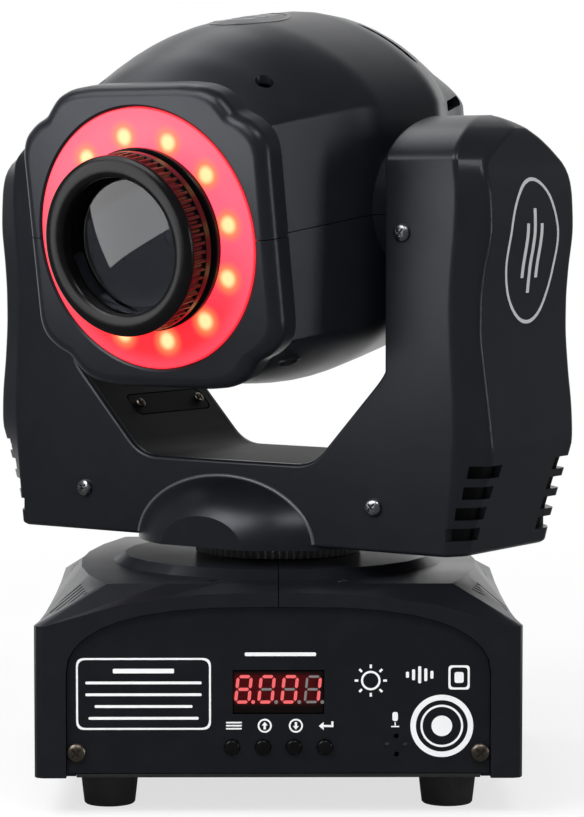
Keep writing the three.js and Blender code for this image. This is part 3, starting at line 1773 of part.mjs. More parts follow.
function focusRing() {
  const knurlBack = -focusFront + focusRimLength + focusKnurlLength;
  const bore = cellRadius + clearance;
  const plain = revolve('y', [
    [focusLipBore, -focusFront],
    [focusRadius - focusToothDepth, -focusFront],
    [focusRadius, -focusFront + focusToothDepth],
    [focusRadius, -focusFront + focusRimLength],
    [focusRadius - focusToothDepth, -focusFront + focusRimLength],
    [focusRadius - focusToothDepth, knurlBack],
    [focusRadius, knurlBack],
    [focusRadius, focusBackY],
    [bore, focusBackY],
    [bore, -focusFront + focusLipThickness],
    [focusLipBore, -focusFront + focusLipThickness],
  ], fineSteps);
  const outline = toothedOutline(focusRadius, focusToothDepth, focusToothCount);
  const hole = roundHole(0, 0, bore + clearance, fineSteps);
  const knurl = prism('y', outline, -focusFront + focusRimLength, knurlBack, [hole]);
  return piece('focus_ring', join(plain, knurl), anodised);
}

/** The folded sheet that carries the wheels and the light source between the axles. */
function headChassis() {
  const inner = chassisHalfWidth - chassisThickness;
  const floor = -sinkHalfHeight - clearance;
  const right = [
    [inner, floor],
    [inner, chassisTop],
    [chassisHalfWidth, chassisTop],
    [chassisHalfWidth, floor - chassisThickness],
  ];
  const left = right.map(([x, z]) => [-x, z]).reverse();
  const sides = prism('y', [...left, ...right].reverse(), -chassisHalfLength, chassisHalfLength);
  const tail = block(
    -chassisTailHalfWidth,
    chassisTailHalfWidth,
    chassisHalfLength - overrun,
    chassisTail,
    floor - chassisThickness,
    floor,
  );
  const wall = block(
    -inner - overrun / 2,
    inner + overrun / 2,
    chassisWallY,
    chassisWallY + chassisThickness,
    floor - chassisThickness / 2,
    chassisTop,
  );
  const aperture = rod('y', apertureRadius, chassisWallY - overrun, chassisWallY + chassisThickness + overrun);
  const shaftHole = rod(
    'y',
    wheelShaftRadius + 2 * clearance,
    chassisWallY - overrun,
    chassisWallY + chassisThickness + overrun,
  );
  const axleHole = rod('x', axleBore, -chassisHalfWidth - overrun, chassisHalfWidth + overrun);
  const body = cut(
    join(sides, tail, wall),
    aperture,
    moved(shaftHole, wheelOffset, 0, 0),
    moved(shaftHole, -wheelOffset, 0, 0),
    axleHole,
  );
  return piece('head_chassis', body, zincSteel);
}

/** A hollow axle along +X from its flange on the chassis to the given end. */
function axleBody(end) {
  const flangeX = chassisHalfWidth + clearance;
  return revolve('x', [
    [axleBore, flangeX],
    [axleFlangeRadius, flangeX],
    [axleFlangeRadius, flangeX + axleFlangeThickness],
    [axleRadius, flangeX + axleFlangeThickness],
    [axleRadius, end],
    [axleBore, end],
  ]);
}

function tiltAxles() {
  const pulley = pulleyBody(tiltPulleyRadius, tiltPulleyWidth, axleRadius + clearance);
  return [
    piece('tilt_axle_left', mirrored(axleBody(bracketOuterX + axleTail), 'x'), brightSteel),
    piece('tilt_axle_right', axleBody(tiltPulleyX + tiltPulleyWidth), brightSteel),
    piece('tilt_pulley', moved(turned(pulley, 'y', quarterTurn), tiltPulleyX, 0, 0), aluminium),
  ];
}

/** A wheel of round windows, with its hub on the rear side, centred on its own axis. */
function wheelBody() {
  const holes = [];
  for (let i = 0; i < wheelHoleCount; i += 1) {
    const angle = (2 * Math.PI * i) / wheelHoleCount;
    const [x, z] = [wheelOffset * Math.cos(angle), wheelOffset * Math.sin(angle)];
    holes.push(roundHole(x, z, wheelHoleRadius, archSteps));
  }
  const rim = [];
  for (let i = 0; i < roundSteps; i += 1) {
    const angle = (2 * Math.PI * i) / roundSteps;
    rim.push([wheelRadius * Math.cos(angle), wheelRadius * Math.sin(angle)]);
  }
  const disc = prism('y', rim, 0, wheelThickness, holes);
  const hub = rod('y', wheelHubRadius, 0, wheelThickness + wheelHubLength);
  const bore = rod('y', wheelShaftRadius + clearance, -overrun, wheelThickness + wheelHubLength + overrun);
  return cut(join(disc, hub), bore);
}

/** The pattern wheel before the cross wall, the colour wheel behind it and their motors. */
function wheels() {
  const wallBack = chassisWallY + chassisThickness;
  const ahead = chassisWallY - wheelGap - wheelThickness;
  const reach = wheelMotorLength + clearance + chassisThickness + wheelGap + wheelThickness;
  const motor = join(
    rod('y', wheelMotorRadius, 0, wheelMotorLength),
    rod('y', wheelShaftRadius, -reach + wheelMotorLength, overrun, pinSteps),
  );
  const wheel = wheelBody();
  const backWheel = mirrored(wheel, 'y');
  const backMotor = mirrored(motor, 'y');
  return [
    piece('gobo_wheel', moved(wheel, -wheelOffset, ahead, 0), blackSteel),
    piece('colour_wheel', moved(backWheel, wheelOffset, wallBack + wheelGap + wheelThickness, 0), dichroic),
    piece('gobo_motor', moved(motor, -wheelOffset, wallBack + clearance, 0), blackSteel),
    piece('colour_motor', moved(backMotor, wheelOffset, chassisWallY - clearance, 0), blackSteel),
  ];
}

/** The finned heat sink, the lamp board on its face and the collecting lens before it. */
function lightSource() {
  const pitch = (2 * sinkHalfWidth - sinkFinThickness) / (sinkFinCount - 1);
  const comb = [[sinkHalfWidth, sinkFront], [-sinkHalfWidth, sinkFront]];
  for (let i = 0; i < sinkFinCount; i += 1) {
    const left = -sinkHalfWidth + i * pitch;
    const right = left + sinkFinThickness;
    if (i > 0) comb.push([left, sinkFront + sinkBase]);
    comb.push([left, sinkFront + sinkDepth], [right, sinkFront + sinkDepth]);
    if (i < sinkFinCount - 1) comb.push([right, sinkFront + sinkBase]);
  }
  const boardBack = sinkFront - clearance;
  const board = revolve('y', [
    [0, boardBack - boardThickness - lampHeight],
    [lampRadius, boardBack - boardThickness - lampHeight],
    [lampRadius, boardBack - boardThickness],
    [lampBoardRadius, boardBack - boardThickness],
    [lampBoardRadius, boardBack],
    [0, boardBack],
  ]);
  const opticBack = boardBack - boardThickness - lampHeight - clearance;
  const crown = [];
  for (let i = 0; i < lensSteps; i += 1) {
    const share = i / lensSteps;
    crown.push([opticFrontRadius * share, opticBack - opticLength - lensBulge * (1 - share * share)]);
  }
  const optic = revolve('y', [
    ...crown,
    [opticFrontRadius, opticBack - opticLength],
    [opticFrontRadius, opticBack - opticLength + lensBulge / 2],
    [opticBackRadius, opticBack],
    [0, opticBack],
  ], innerSteps);
  return [
    piece('heatsink', prism('z', comb, -sinkHalfHeight, sinkHalfHeight), aluminium),
    piece('led_board', board, aluminium),
    piece('condenser_lens', optic, glass),
  ];
}

function fan() {
  const front = sinkFront + sinkDepth + clearance;
  const outline = roundRectangle(fanHalfSize, fanHalfSize, fanScrewRadius);
  const corner = fanHalfSize - 2 * fanScrewRadius;
  const holes = [[-1, -1], [1, -1], [1, 1], [-1, 1]].map(([sx, sz]) => (
    roundHole(sx * corner, sz * corner, fanScrewRadius, pinSteps)
  ));
  const frame = prism('z', outline, 0, fanDepth, [roundHole(0, 0, fanBore, roundSteps), ...holes]);
  const spoke = block(
    -fanBore - overrun,
    fanBore + overrun,
    -fanSpokeWidth / 2,
    fanSpokeWidth / 2,
    0,
    fanSpokeThickness,
  );
  const whole = join(
    frame,
    spoke,
    turned(spoke, 'z', quarterTurn),
    rod('z', fanHubRadius, 0, fanSpokeThickness),
    rod('z', fanPinRadius, 0, fanDepth - fanSpokeThickness, pinSteps),
  );
  const bottom = fanSpokeThickness + clearance;
  const top = fanDepth - clearance;
  const blade = turned(block(
    fanHubRadius - overrun,
    fanBore - 3 * clearance,
    -fanBladeThickness / 2,
    fanBladeThickness / 2,
    -fanBladeHeight / 2,
    fanBladeHeight / 2,
  ), 'x', fanBladeTilt);
  const blades = [];
  for (let i = 0; i < fanBladeCount; i += 1) {
    blades.push(moved(turned(blade, 'z', (2 * Math.PI * i) / fanBladeCount), 0, 0, (bottom + top) / 2));
  }
  const hub = rod('z', fanHubRadius, bottom, top);
  const bore = rod('z', fanPinRadius + clearance, 0, fanDepth - fanSpokeThickness + clearance, pinSteps);
  const rotor = join(cut(hub, bore), ...blades);
  const lay = (body) => moved(turned(body, 'x', -quarterTurn), 0, front, 0);
  return [piece('fan_frame', lay(whole), darkPlastic), piece('fan_rotor', lay(rotor), darkPlastic)];
}

// Assembly

function groupOf(name, ...pieces) {
  const group = new THREE.Group();
  group.name = name;
  group.add(...pieces);
  return group;
}

const base = groupOf(
  'base',
  basePlate(),
  ...baseCovers(),
  frontPanel(),
  rearPanel(),
  displayModule(),
  controlBoard(),
  microphone(),
  ...rubberFeet(),
  powerInlet(),
  fuseHolder(),
  ...signalSockets(),
  powerSupply(),
  ...panDrive(),
  ...panBridge(),
  ...buttons(),
);

const head = groupOf(
  'head',
  ...headShells(),
  ringDiffuser(),
  ringBoard(),
  lensSleeve(),
  headChassis(),
  ...tiltAxles(),
  ...lightSource(),
  ...wheels(),
  ...fan(),
  ...lensCell(),
  focusRing(),
);
head.position.z = tiltHeight;
head.rotation.x = tiltAngle;

const yoke = groupOf(
  'yoke',
  yokeShell(),
  yokeLiner(),
  yokeBracket(),
  ...panSpindle(),
  panCollar(),
  cablePlate(),
  ...tiltDrive(),
  ...tiltBearings(),
  head,
);
yoke.rotation.z = panAngle;

export default groupOf('moving_head', base, yoke);
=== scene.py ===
"""Dresses a small moving head spotlight: base, panning yoke and tilting lamp head.

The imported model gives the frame, in metres. Sizes in this file are written in millimetres, in the
frame of the sub-assembly that carries them: the base's own frame, the yoke's, which is panned, or
the head's, which is tilted in the yoke and looks along -Y.
"""

from __future__ import annotations

import logging
import math
from collections.abc import Iterator, Sequence
from contextlib import contextmanager
from dataclasses import dataclass
from enum import Enum

import bpy
from mathutils import Euler, Matrix, Vector


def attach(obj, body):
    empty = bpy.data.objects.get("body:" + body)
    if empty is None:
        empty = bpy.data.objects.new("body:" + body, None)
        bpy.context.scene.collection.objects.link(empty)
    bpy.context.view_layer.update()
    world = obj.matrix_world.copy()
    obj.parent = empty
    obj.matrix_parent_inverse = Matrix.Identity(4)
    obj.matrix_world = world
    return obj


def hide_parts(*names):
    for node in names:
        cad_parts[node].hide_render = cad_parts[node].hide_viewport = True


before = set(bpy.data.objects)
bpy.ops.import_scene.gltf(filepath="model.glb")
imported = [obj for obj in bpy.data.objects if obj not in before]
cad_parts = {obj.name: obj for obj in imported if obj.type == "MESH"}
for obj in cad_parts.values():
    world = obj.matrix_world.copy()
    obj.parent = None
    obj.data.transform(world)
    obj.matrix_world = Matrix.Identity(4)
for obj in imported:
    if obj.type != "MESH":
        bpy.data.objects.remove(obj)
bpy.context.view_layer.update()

log = logging.getLogger("moving_head")

MM = 0.001
PAN = math.radians(-34.8)
TILT = math.radians(8.6)
TILT_HEIGHT = 187.5
FLOOR_HEIGHT = -12.5
WELD = 0.000002
NODE_WELD = 0.00002
FLAT_ANGLE = math.radians(0.7)
MIRROR = Matrix.Diagonal((-1, 1, 1, 1))
Pair = tuple[float, float]
Triple = tuple[float, float, float]


class Place(Enum):
    """The frames in which pieces are drawn, each with its turn and its height."""

    BASE = "base"
    YOKE = "yoke"
    HEAD = "head"

    def matrix(self) -> Matrix:
        """The move from this frame to the model's frame, in metres.

        Returns:
            The matrix to apply to a mesh that is drawn in this frame.
        """
        pan = Matrix.Rotation(PAN, 4, "Z")
        if self is Place.YOKE:
            return pan
        if self is Place.HEAD:
            lift = Matrix.Translation((0, 0, TILT_HEIGHT * MM))
            return lift @ pan @ Matrix.Rotation(TILT, 4, "X")
        return Matrix.Identity(4)


# Shader work.


class Sock:
    """A shader socket with arithmetic: each operation adds its Math node."""

    def __init__(self, tree: "Tree", socket: bpy.types.NodeSocket) -> None:
        """Keeps the tree and the socket.

        Args:
            tree: The node tree that new nodes join.
            socket: The output socket that this value comes from.
        """
        self.tree = tree
        self.socket = socket

    def math(self, operation: str, *others: "Sock | float", flip: bool = False) -> "Sock":
        """Adds one Math node.

        Args:
            operation: The node's operation.
            others: The other operands.
            flip: Whether this value is the second operand.

        Returns:
            The node's value.
        """
        values = [*others, self] if flip else [self, *others]
        return self.tree.node("ShaderNodeMath", {"operation": operation}, dict(enumerate(values)))

    def __add__(self, other: "Sock | float") -> "Sock":
        """This value plus another."""
        return self.math("ADD", other)

    def __radd__(self, other: "Sock | float") -> "Sock":
        """Another value plus this one."""
        return self.math("ADD", other)

    def __sub__(self, other: "Sock | float") -> "Sock":
        """This value less another."""
        return self.math("SUBTRACT", other)

    def __rsub__(self, other: "Sock | float") -> "Sock":
        """Another value less this one."""
        return self.math("SUBTRACT", other, flip=True)

    def __mul__(self, other: "Sock | float") -> "Sock":
        """This value times another."""
        return self.math("MULTIPLY", other)

    def __rmul__(self, other: "Sock | float") -> "Sock":
        """Another value times this one."""
        return self.math("MULTIPLY", other)

    def __truediv__(self, other: "Sock | float") -> "Sock":
        """This value over another."""
        return self.math("DIVIDE", other)

    def fade(self, start: float, end: float) -> "Sock":
        """A smooth step from 0 at start to 1 at end.

        Args:
            start: The value at which the step begins.
            end: The value at which it is complete.

        Returns:
            The step, from 0 to 1.
        """
        return self.tree.node(
            "ShaderNodeMapRange",
            {"interpolation_type": "SMOOTHSTEP"},
            {"Value": self, "From Min": start, "From Max": end},
        )


class Tree:
    """The node tree of a material or a world, with one method that adds any node."""

    def __init__(self, name: str, world: bool = False) -> None:
        """Makes the material or the world.

        Args:
            name: Its name.
            world: Whether it is a world.
        """
        self.world = world
        self.owner = (bpy.data.worlds if world else bpy.data.materials).new(name)
        self.owner.use_nodes = True
        self.nodes = self.owner.node_tree.nodes
        self.links = self.owner.node_tree.links
        self.nodes.clear()

    def node(
        self,
        kind: str,
        settings: dict | None = None,
        values: dict | None = None,
        out: int | str = 0,
    ) -> Sock:
        """Adds a node.

        Args:
            kind: The node's type.
            settings: Properties of the node, set before its sockets.
            values: Its input sockets by name or number, each a value or a socket to link.
            out: The name or number of the output that is returned.

        Returns:
            That output.
        """
        made = self.nodes.new(kind)
        for key, value in (settings or {}).items():
            setattr(made, key, value)
        for key, value in (values or {}).items():
            if isinstance(value, Sock):
                self.links.new(value.socket, made.inputs[key])
            else:
                made.inputs[key].default_value = value
        return Sock(self, made.outputs[out])

    def coordinates(self, place: Place) -> Sock:
        """Object coordinates turned to the frame of a sub-assembly, in metres.

        Args:
            place: The frame.

        Returns:
            The coordinate vector.
        """
        position = self.node("ShaderNodeTexCoord", None, None, "Object")
        if place is Place.BASE:
            return position
        turn = place.matrix().to_euler("XYZ")
        lift = place.matrix().translation
        return self.node(
            "ShaderNodeMapping",
            {"vector_type": "TEXTURE"},
            {"Vector": position, "Location": lift, "Rotation": turn},
        )

    def axes(self, place: Place) -> tuple[Sock, Sock, Sock]:
        """The three coordinates in a frame, in millimetres.

        Args:
            place: The frame.

        Returns:
            The three values.
        """
        split = self.node("ShaderNodeSeparateXYZ", None, {"Vector": self.coordinates(place)})
        outputs = split.socket.node.outputs
        return tuple(Sock(self, outputs[i]) * (1 / MM) for i in range(3))

    def noise(self, scale: float, detail: float = 2.0, stretch: Triple = (1, 1, 1)) -> Sock:
        """Noise on object coordinates, from 0 to 1.

        Args:
            scale: Noise cells to the metre.
            detail: The noise's octaves.
            stretch: How the pattern is scaled along each axis.

        Returns:
            The noise value.
        """
        position = self.node("ShaderNodeTexCoord", None, None, "Object")
        if stretch != (1, 1, 1):
            position = self.node("ShaderNodeMapping", None, {"Vector": position, "Scale": stretch})
        values = {"Vector": position, "Scale": scale, "Detail": detail}
        return self.node("ShaderNodeTexNoise", None, values)

    def bump(self, height: Sock, strength: float, relief: float) -> Sock:
        """A normal that follows a height, with the relief in metres."""
        values = {"Height": height, "Strength": strength, "Distance": relief}
        return self.node("ShaderNodeBump", None, values)

    def principled(self, values: dict) -> bpy.types.Material:
        """The material of one principled shader with these values or links."""
        return self.close(self.node("ShaderNodeBsdfPrincipled", None, values))

    def close(self, shader: Sock) -> bpy.types.Material | bpy.types.World:
        """Links the shader to the output.

        Args:
            shader: The finished shader.

        Returns:
            The material or the world.
        """
        kind = "ShaderNodeOutputWorld" if self.world else "ShaderNodeOutputMaterial"
        output = self.nodes.new(kind)
        self.links.new(shader.socket, output.inputs["Surface"])
        return self.owner


def blend(
    tree: Tree,
    share: Sock | float,
    first: Sequence[float] | Sock,
    second: Sequence[float] | Sock,
) -> Sock:
    """Mixes two colours.

    Args:
        tree: The tree.
        share: How much of the second colour shows.
        first: The colour at 0.
        second: The colour at 1.

    Returns:
        The mixed colour.
    """
    def rgba(colour: Sequence[float] | Sock) -> Sequence[float] | Sock:
        """A colour with its alpha, or a socket as it is."""
        return colour if isinstance(colour, Sock) else (*colour, 1.0)

    values = {0: share, 6: rgba(first), 7: rgba(second)}
    return tree.node("ShaderNodeMix", {"data_type": "RGBA"}, values, 2)


@dataclass(frozen=True)
class Moulding:
    """Moulded plastic, paint or rubber: a fine grain over a slow change of sheen.

    Noise scales are cells to the metre, and the relief is in metres.
    """

    name: str
    colour: Triple
    roughness: float = 0.42
    sheen_change: float = 0.10
    grain: float = 2600.0
    grain_depth: float = 0.08
    dust: float = 0.004
    metallic: float = 0.0
    specular: float = 0.5
    coat: float = 0.0
    tint: Triple = (1.0, 1.0, 1.0)
    patches: float = 38.0
    smudges: float = 160.0
    smudge_edge: Pair = (0.35, 0.75)
    relief: float = 0.0004
    coat_roughness: float = 0.12

    def make(self) -> bpy.types.Material:
        """Builds the material."""
        tree = Tree(self.name)
        slow = tree.noise(self.patches, 3.0)
        fine = tree.noise(self.grain, 3.0)
        smudge = tree.noise(self.smudges, 4.0)
        dusty = tuple(c + self.dust for c in self.colour)
        colour = blend(tree, smudge.fade(*self.smudge_edge), self.colour, dusty)
        rough = self.roughness + (slow - 0.5) * self.sheen_change + (fine - 0.5) * self.sheen_change
        bump = tree.bump(fine, self.grain_depth, self.relief)
        return tree.principled({
            "Base Color": colour,
            "Roughness": rough,
            "Metallic": self.metallic,
            "Specular IOR Level": self.specular,
            "Specular Tint": (*self.tint, 1.0),
            "Coat Weight": self.coat,
            "Coat Roughness": self.coat_roughness,
            "Normal": bump,
        })


@dataclass(frozen=True)
class Metal:
    """Plated, ground, cast or drawn metal with fine lines along one axis."""

    name: str
    colour: Triple
    roughness: float = 0.28
    lines: Triple = (1.0, 1.0, 14.0)
    line_scale: float = 900.0
    line_change: float = 0.18
    line_depth: float = 0.08
    relief: float = 0.0002
    tarnish: float = 0.12
    patches: float = 120.0
    patch_edge: Pair = (0.4, 0.8)

    def make(self) -> bpy.types.Material:
        """Builds the material."""
        tree = Tree(self.name)
        lines = tree.noise(self.line_scale, 2.0, self.lines)
        patch = tree.noise(self.patches, 4.0)
        dull = tuple(c * (1 - self.tarnish * 2) for c in self.colour)
        colour = blend(tree, patch.fade(*self.patch_edge), self.colour, dull)
        rough = self.roughness + (lines - 0.5) * self.line_change + (patch - 0.5) * self.tarnish
        bump = tree.bump(lines, self.line_depth, self.relief)
        return tree.principled({
            "Base Color": colour,
            "Roughness": rough,
            "Metallic": 1.0,
            "Normal": bump,
        })


@dataclass(frozen=True)
class Glow:
    """A plain lit plastic, such as a display bar, with a slight change over its face."""

    name: str
    colour: Triple
    strength: float
    base: Triple = (0.05, 0.01, 0.01)
    roughness: float = 0.35
    patches: float = 1800.0
    change: float = 0.14

    def make(self) -> bpy.types.Material:
        """Builds the material."""
        tree = Tree(self.name)
        patch = tree.noise(self.patches, 1.0)
        softer = tuple(c * (1 - self.change) for c in self.colour)
        return tree.principled({
            "Base Color": (*self.base, 1.0),
            "Roughness": self.roughness,
            "Emission Color": blend(tree, patch, self.colour, softer),
            "Emission Strength": self.strength,
        })


@dataclass(frozen=True)
class Window:
    """A dark tinted window that glows faintly red round the lit digits behind it."""

    name: str
    across: Pair = (-15.6, 15.2)
    up: Pair = (23.2, 35.0)
    fringe: float = 2.2
    unlit_width: float = 5.0
    tinted: Triple = (0.004, 0.002, 0.002)
    glow: Triple = (0.055, 0.0006, 0.0015)
    roughness: float = 0.12
    specular: float = 0.25
    patches: float = 240.0

    def make(self) -> bpy.types.Material:
        """Builds the material."""
        tree = Tree(self.name)
        x, _, z = tree.axes(Place.BASE)
        left, right = self.across
        low, high = self.up
        glow = x.fade(left, left + self.fringe) * (1.0 - x.fade(right - self.unlit_width, right))
        glow = glow * z.fade(low, low + self.fringe)
        glow = glow * (1.0 - z.fade(high - self.fringe, high))
        haze = tree.noise(self.patches, 2.0)
        return tree.principled({
            "Base Color": (*self.tinted, 1.0),
            "Roughness": self.roughness + haze * 0.05,
            "Specular IOR Level": self.specular,
            "Emission Color": blend(tree, glow * (0.75 + haze * 0.5), (0.0, 0.0, 0.0), self.glow),
            "Emission Strength": 1.0,
        })


@dataclass(frozen=True)
class Glass:
    """Clear glass with a faint coating and a trace of dust."""

    name: str
    colour: Triple = (0.9, 0.93, 0.97)
    roughness: float = 0.01
    coat: float = 0.3
    index: float = 1.52
    patches: float = 60.0

    def make(self) -> bpy.types.Material:
        """Builds the material."""
        tree = Tree(self.name)
        dust = tree.noise(self.patches, 2.0)
        return tree.principled({
            "Base Color": (*self.colour, 1.0),
            "Roughness": self.roughness + dust * 0.01,
            "IOR": self.index,
            "Transmission Weight": 1.0,
            "Coat Weight": self.coat,
        })


@dataclass(frozen=True)
class RingGlow:
    """The frosted ring over twelve lamps: each lamp shows as a pale spot in a red glow.

    Sizes are millimetres in the head's frame, and a reach is where a spot begins and ends to fade.
    """

    name: str
    lamps: int = 12
    circle: float = 34.2
    first: float = math.radians(8.3)
    inner: float = 29.5
    outer: float = 43.5
    core: Triple = (1.0, 0.41, 0.19)
    core_reach: Pair = (1.4, 3.8)
    halo: Triple = (1.0, 0.125, 0.038)
    halo_reach: Pair = (2.0, 6.6)
    deep: Triple = (0.95, 0.004, 0.010)
    milky: Triple = (0.95, 0.072, 0.115)
    milky_rise: Pair = (-34.0, 24.0)
    rim: Triple = (0.92, 0.048, 0.085)
    rim_reach: Pair = (37.0, 43.0)
    cloud: Triple = (0.9, 0.008, 0.022)
    border: Triple = (0.5, 0.012, 0.02)
    unlit: Triple = (0.1, 0.008, 0.01)
    strength: float = 2.2

    def make(self) -> bpy.types.Material:
        """Builds the material."""
        tree = Tree(self.name)
        x, _, z = tree.axes(Place.HEAD)
        bearing = z.math("ARCTAN2", x)
        pitch = 2 * math.pi / self.lamps
        turn = (bearing - self.first + 8 * math.pi) / pitch + 0.5
        near = (turn.math("FRACT") - 0.5) * pitch
        radius = (x * x + z * z).math("SQRT")
        along = near * self.circle
        across = radius - self.circle
        distance = (along * along + across * across).math("SQRT")
        upper = (z + x * 0.25).fade(*self.milky_rise)
        red = blend(tree, upper, self.deep, self.milky)
        red = blend(tree, radius.fade(*self.rim_reach) * 0.5, red, self.rim)
        red = blend(tree, tree.noise(60.0, 2.0) * 0.2, red, self.cloud)
        halo = blend(tree, 1.0 - distance.fade(*self.halo_reach), red, self.halo)
        core = blend(tree, 1.0 - distance.fade(*self.core_reach), halo, self.core)
        within = radius.fade(self.inner, self.inner + 1.2)
        within = within * (1.0 - radius.fade(self.outer - 0.8, self.outer))
        return tree.principled({
            "Base Color": (*self.unlit, 1.0),
            "Roughness": 0.4,
            "Specular IOR Level": 0.3,
            "Emission Color": blend(tree, within, self.border, core),
            "Emission Strength": self.strength,
        })


COOL: Triple = (0.88, 0.92, 1.0)
SHELL: Triple = (0.0075, 0.0083, 0.0112)
# Black lightened to grey: painted light on the collar's ribs, which sit in shade, and a painted
# highlight along the bell's trim line.
PAINTED_LIGHT_GREY: Triple = (0.070, 0.072, 0.079)
LINER: Triple = (0.0075, 0.0077, 0.009)
PANEL: Triple = (0.0065, 0.007, 0.009)
SOCKET: Triple = (0.008, 0.008, 0.009)
TUBE: Triple = (0.003, 0.003, 0.0035)
BAFFLE: Triple = (0.0025, 0.0025, 0.003)


class Finishes:
    """Every finish of the light, made once and handed out by name."""

    LIST = (
        Moulding("shell_black", SHELL, roughness=0.31, dust=0.0015, specular=0.36, tint=COOL),
        Moulding("grey_painted_light", PAINTED_LIGHT_GREY, roughness=0.28, dust=0.006, specular=0.8),
        Moulding("liner_black", LINER, roughness=0.55, dust=0.002, specular=0.18),
        Moulding(
            "panel_black", PANEL, roughness=0.34, grain_depth=0.04, dust=0.0015, specular=0.3,
            tint=COOL,
        ),
        Moulding("socket_black", SOCKET, 0.32, grain_depth=0.05, dust=0.002, specular=0.4),
        Moulding("tube_black", TUBE, roughness=0.21, grain=3400.0, dust=0.001, specular=0.19),
        Moulding("baffle_black", BAFFLE, roughness=0.6, dust=0.001, specular=0.15),
        Moulding("rubber_black", (0.012, 0.012, 0.0125), roughness=0.72, grain_depth=0.2),
        Moulding("belt_black", (0.012, 0.012, 0.012), roughness=0.8, grain_depth=0.3),
        Window("window_red"),
        Moulding("print_white", (0.78, 0.79, 0.80), roughness=0.5, grain_depth=0.03, dust=0.02),
        Moulding("print_grey", (0.42, 0.43, 0.44), roughness=0.5, grain_depth=0.03, dust=0.02),
        Moulding("board_green", (0.012, 0.085, 0.03), roughness=0.35, coat=0.3),
        Moulding("case_black", (0.02, 0.02, 0.022), roughness=0.45, metallic=0.3),
        Metal("steel_zinc", (0.52, 0.53, 0.55), roughness=0.34),
        Metal("steel_bright", (0.66, 0.67, 0.69), roughness=0.2),
        Metal("screw_nickel", (0.34, 0.34, 0.36), roughness=0.26),
        Metal("screw_bronze", (0.20, 0.17, 0.14), roughness=0.34),
        Metal("aluminium_bare", (0.62, 0.63, 0.65), roughness=0.36),
        Glass("glass_clear"),
        Glass("lens_dark", colour=(0.10, 0.11, 0.14), coat=0.0),
        Glass("glass_filter", colour=(0.25, 0.4, 0.9), coat=0.0),
        Glow("segment_lit", (1.0, 0.15, 0.16), 0.96),
        Glow("segment_halo", (0.5, 0.004, 0.008), 0.5),
        # Unlit bars with a faint glow: painted light, standing in for room light on them.
        Glow("segment_unlit_painted_glow", (0.11, 0.095, 0.095), 0.35, (0.15, 0.14, 0.14)),
        RingGlow("ring_red"),
    )

    def __init__(self) -> None:
        """Builds every finish."""
        self.made = {finish.name: finish.make() for finish in self.LIST}

    def __getitem__(self, name: str) -> bpy.types.Material:
        """The material of that name."""
        return self.made[name]


# Modelling.


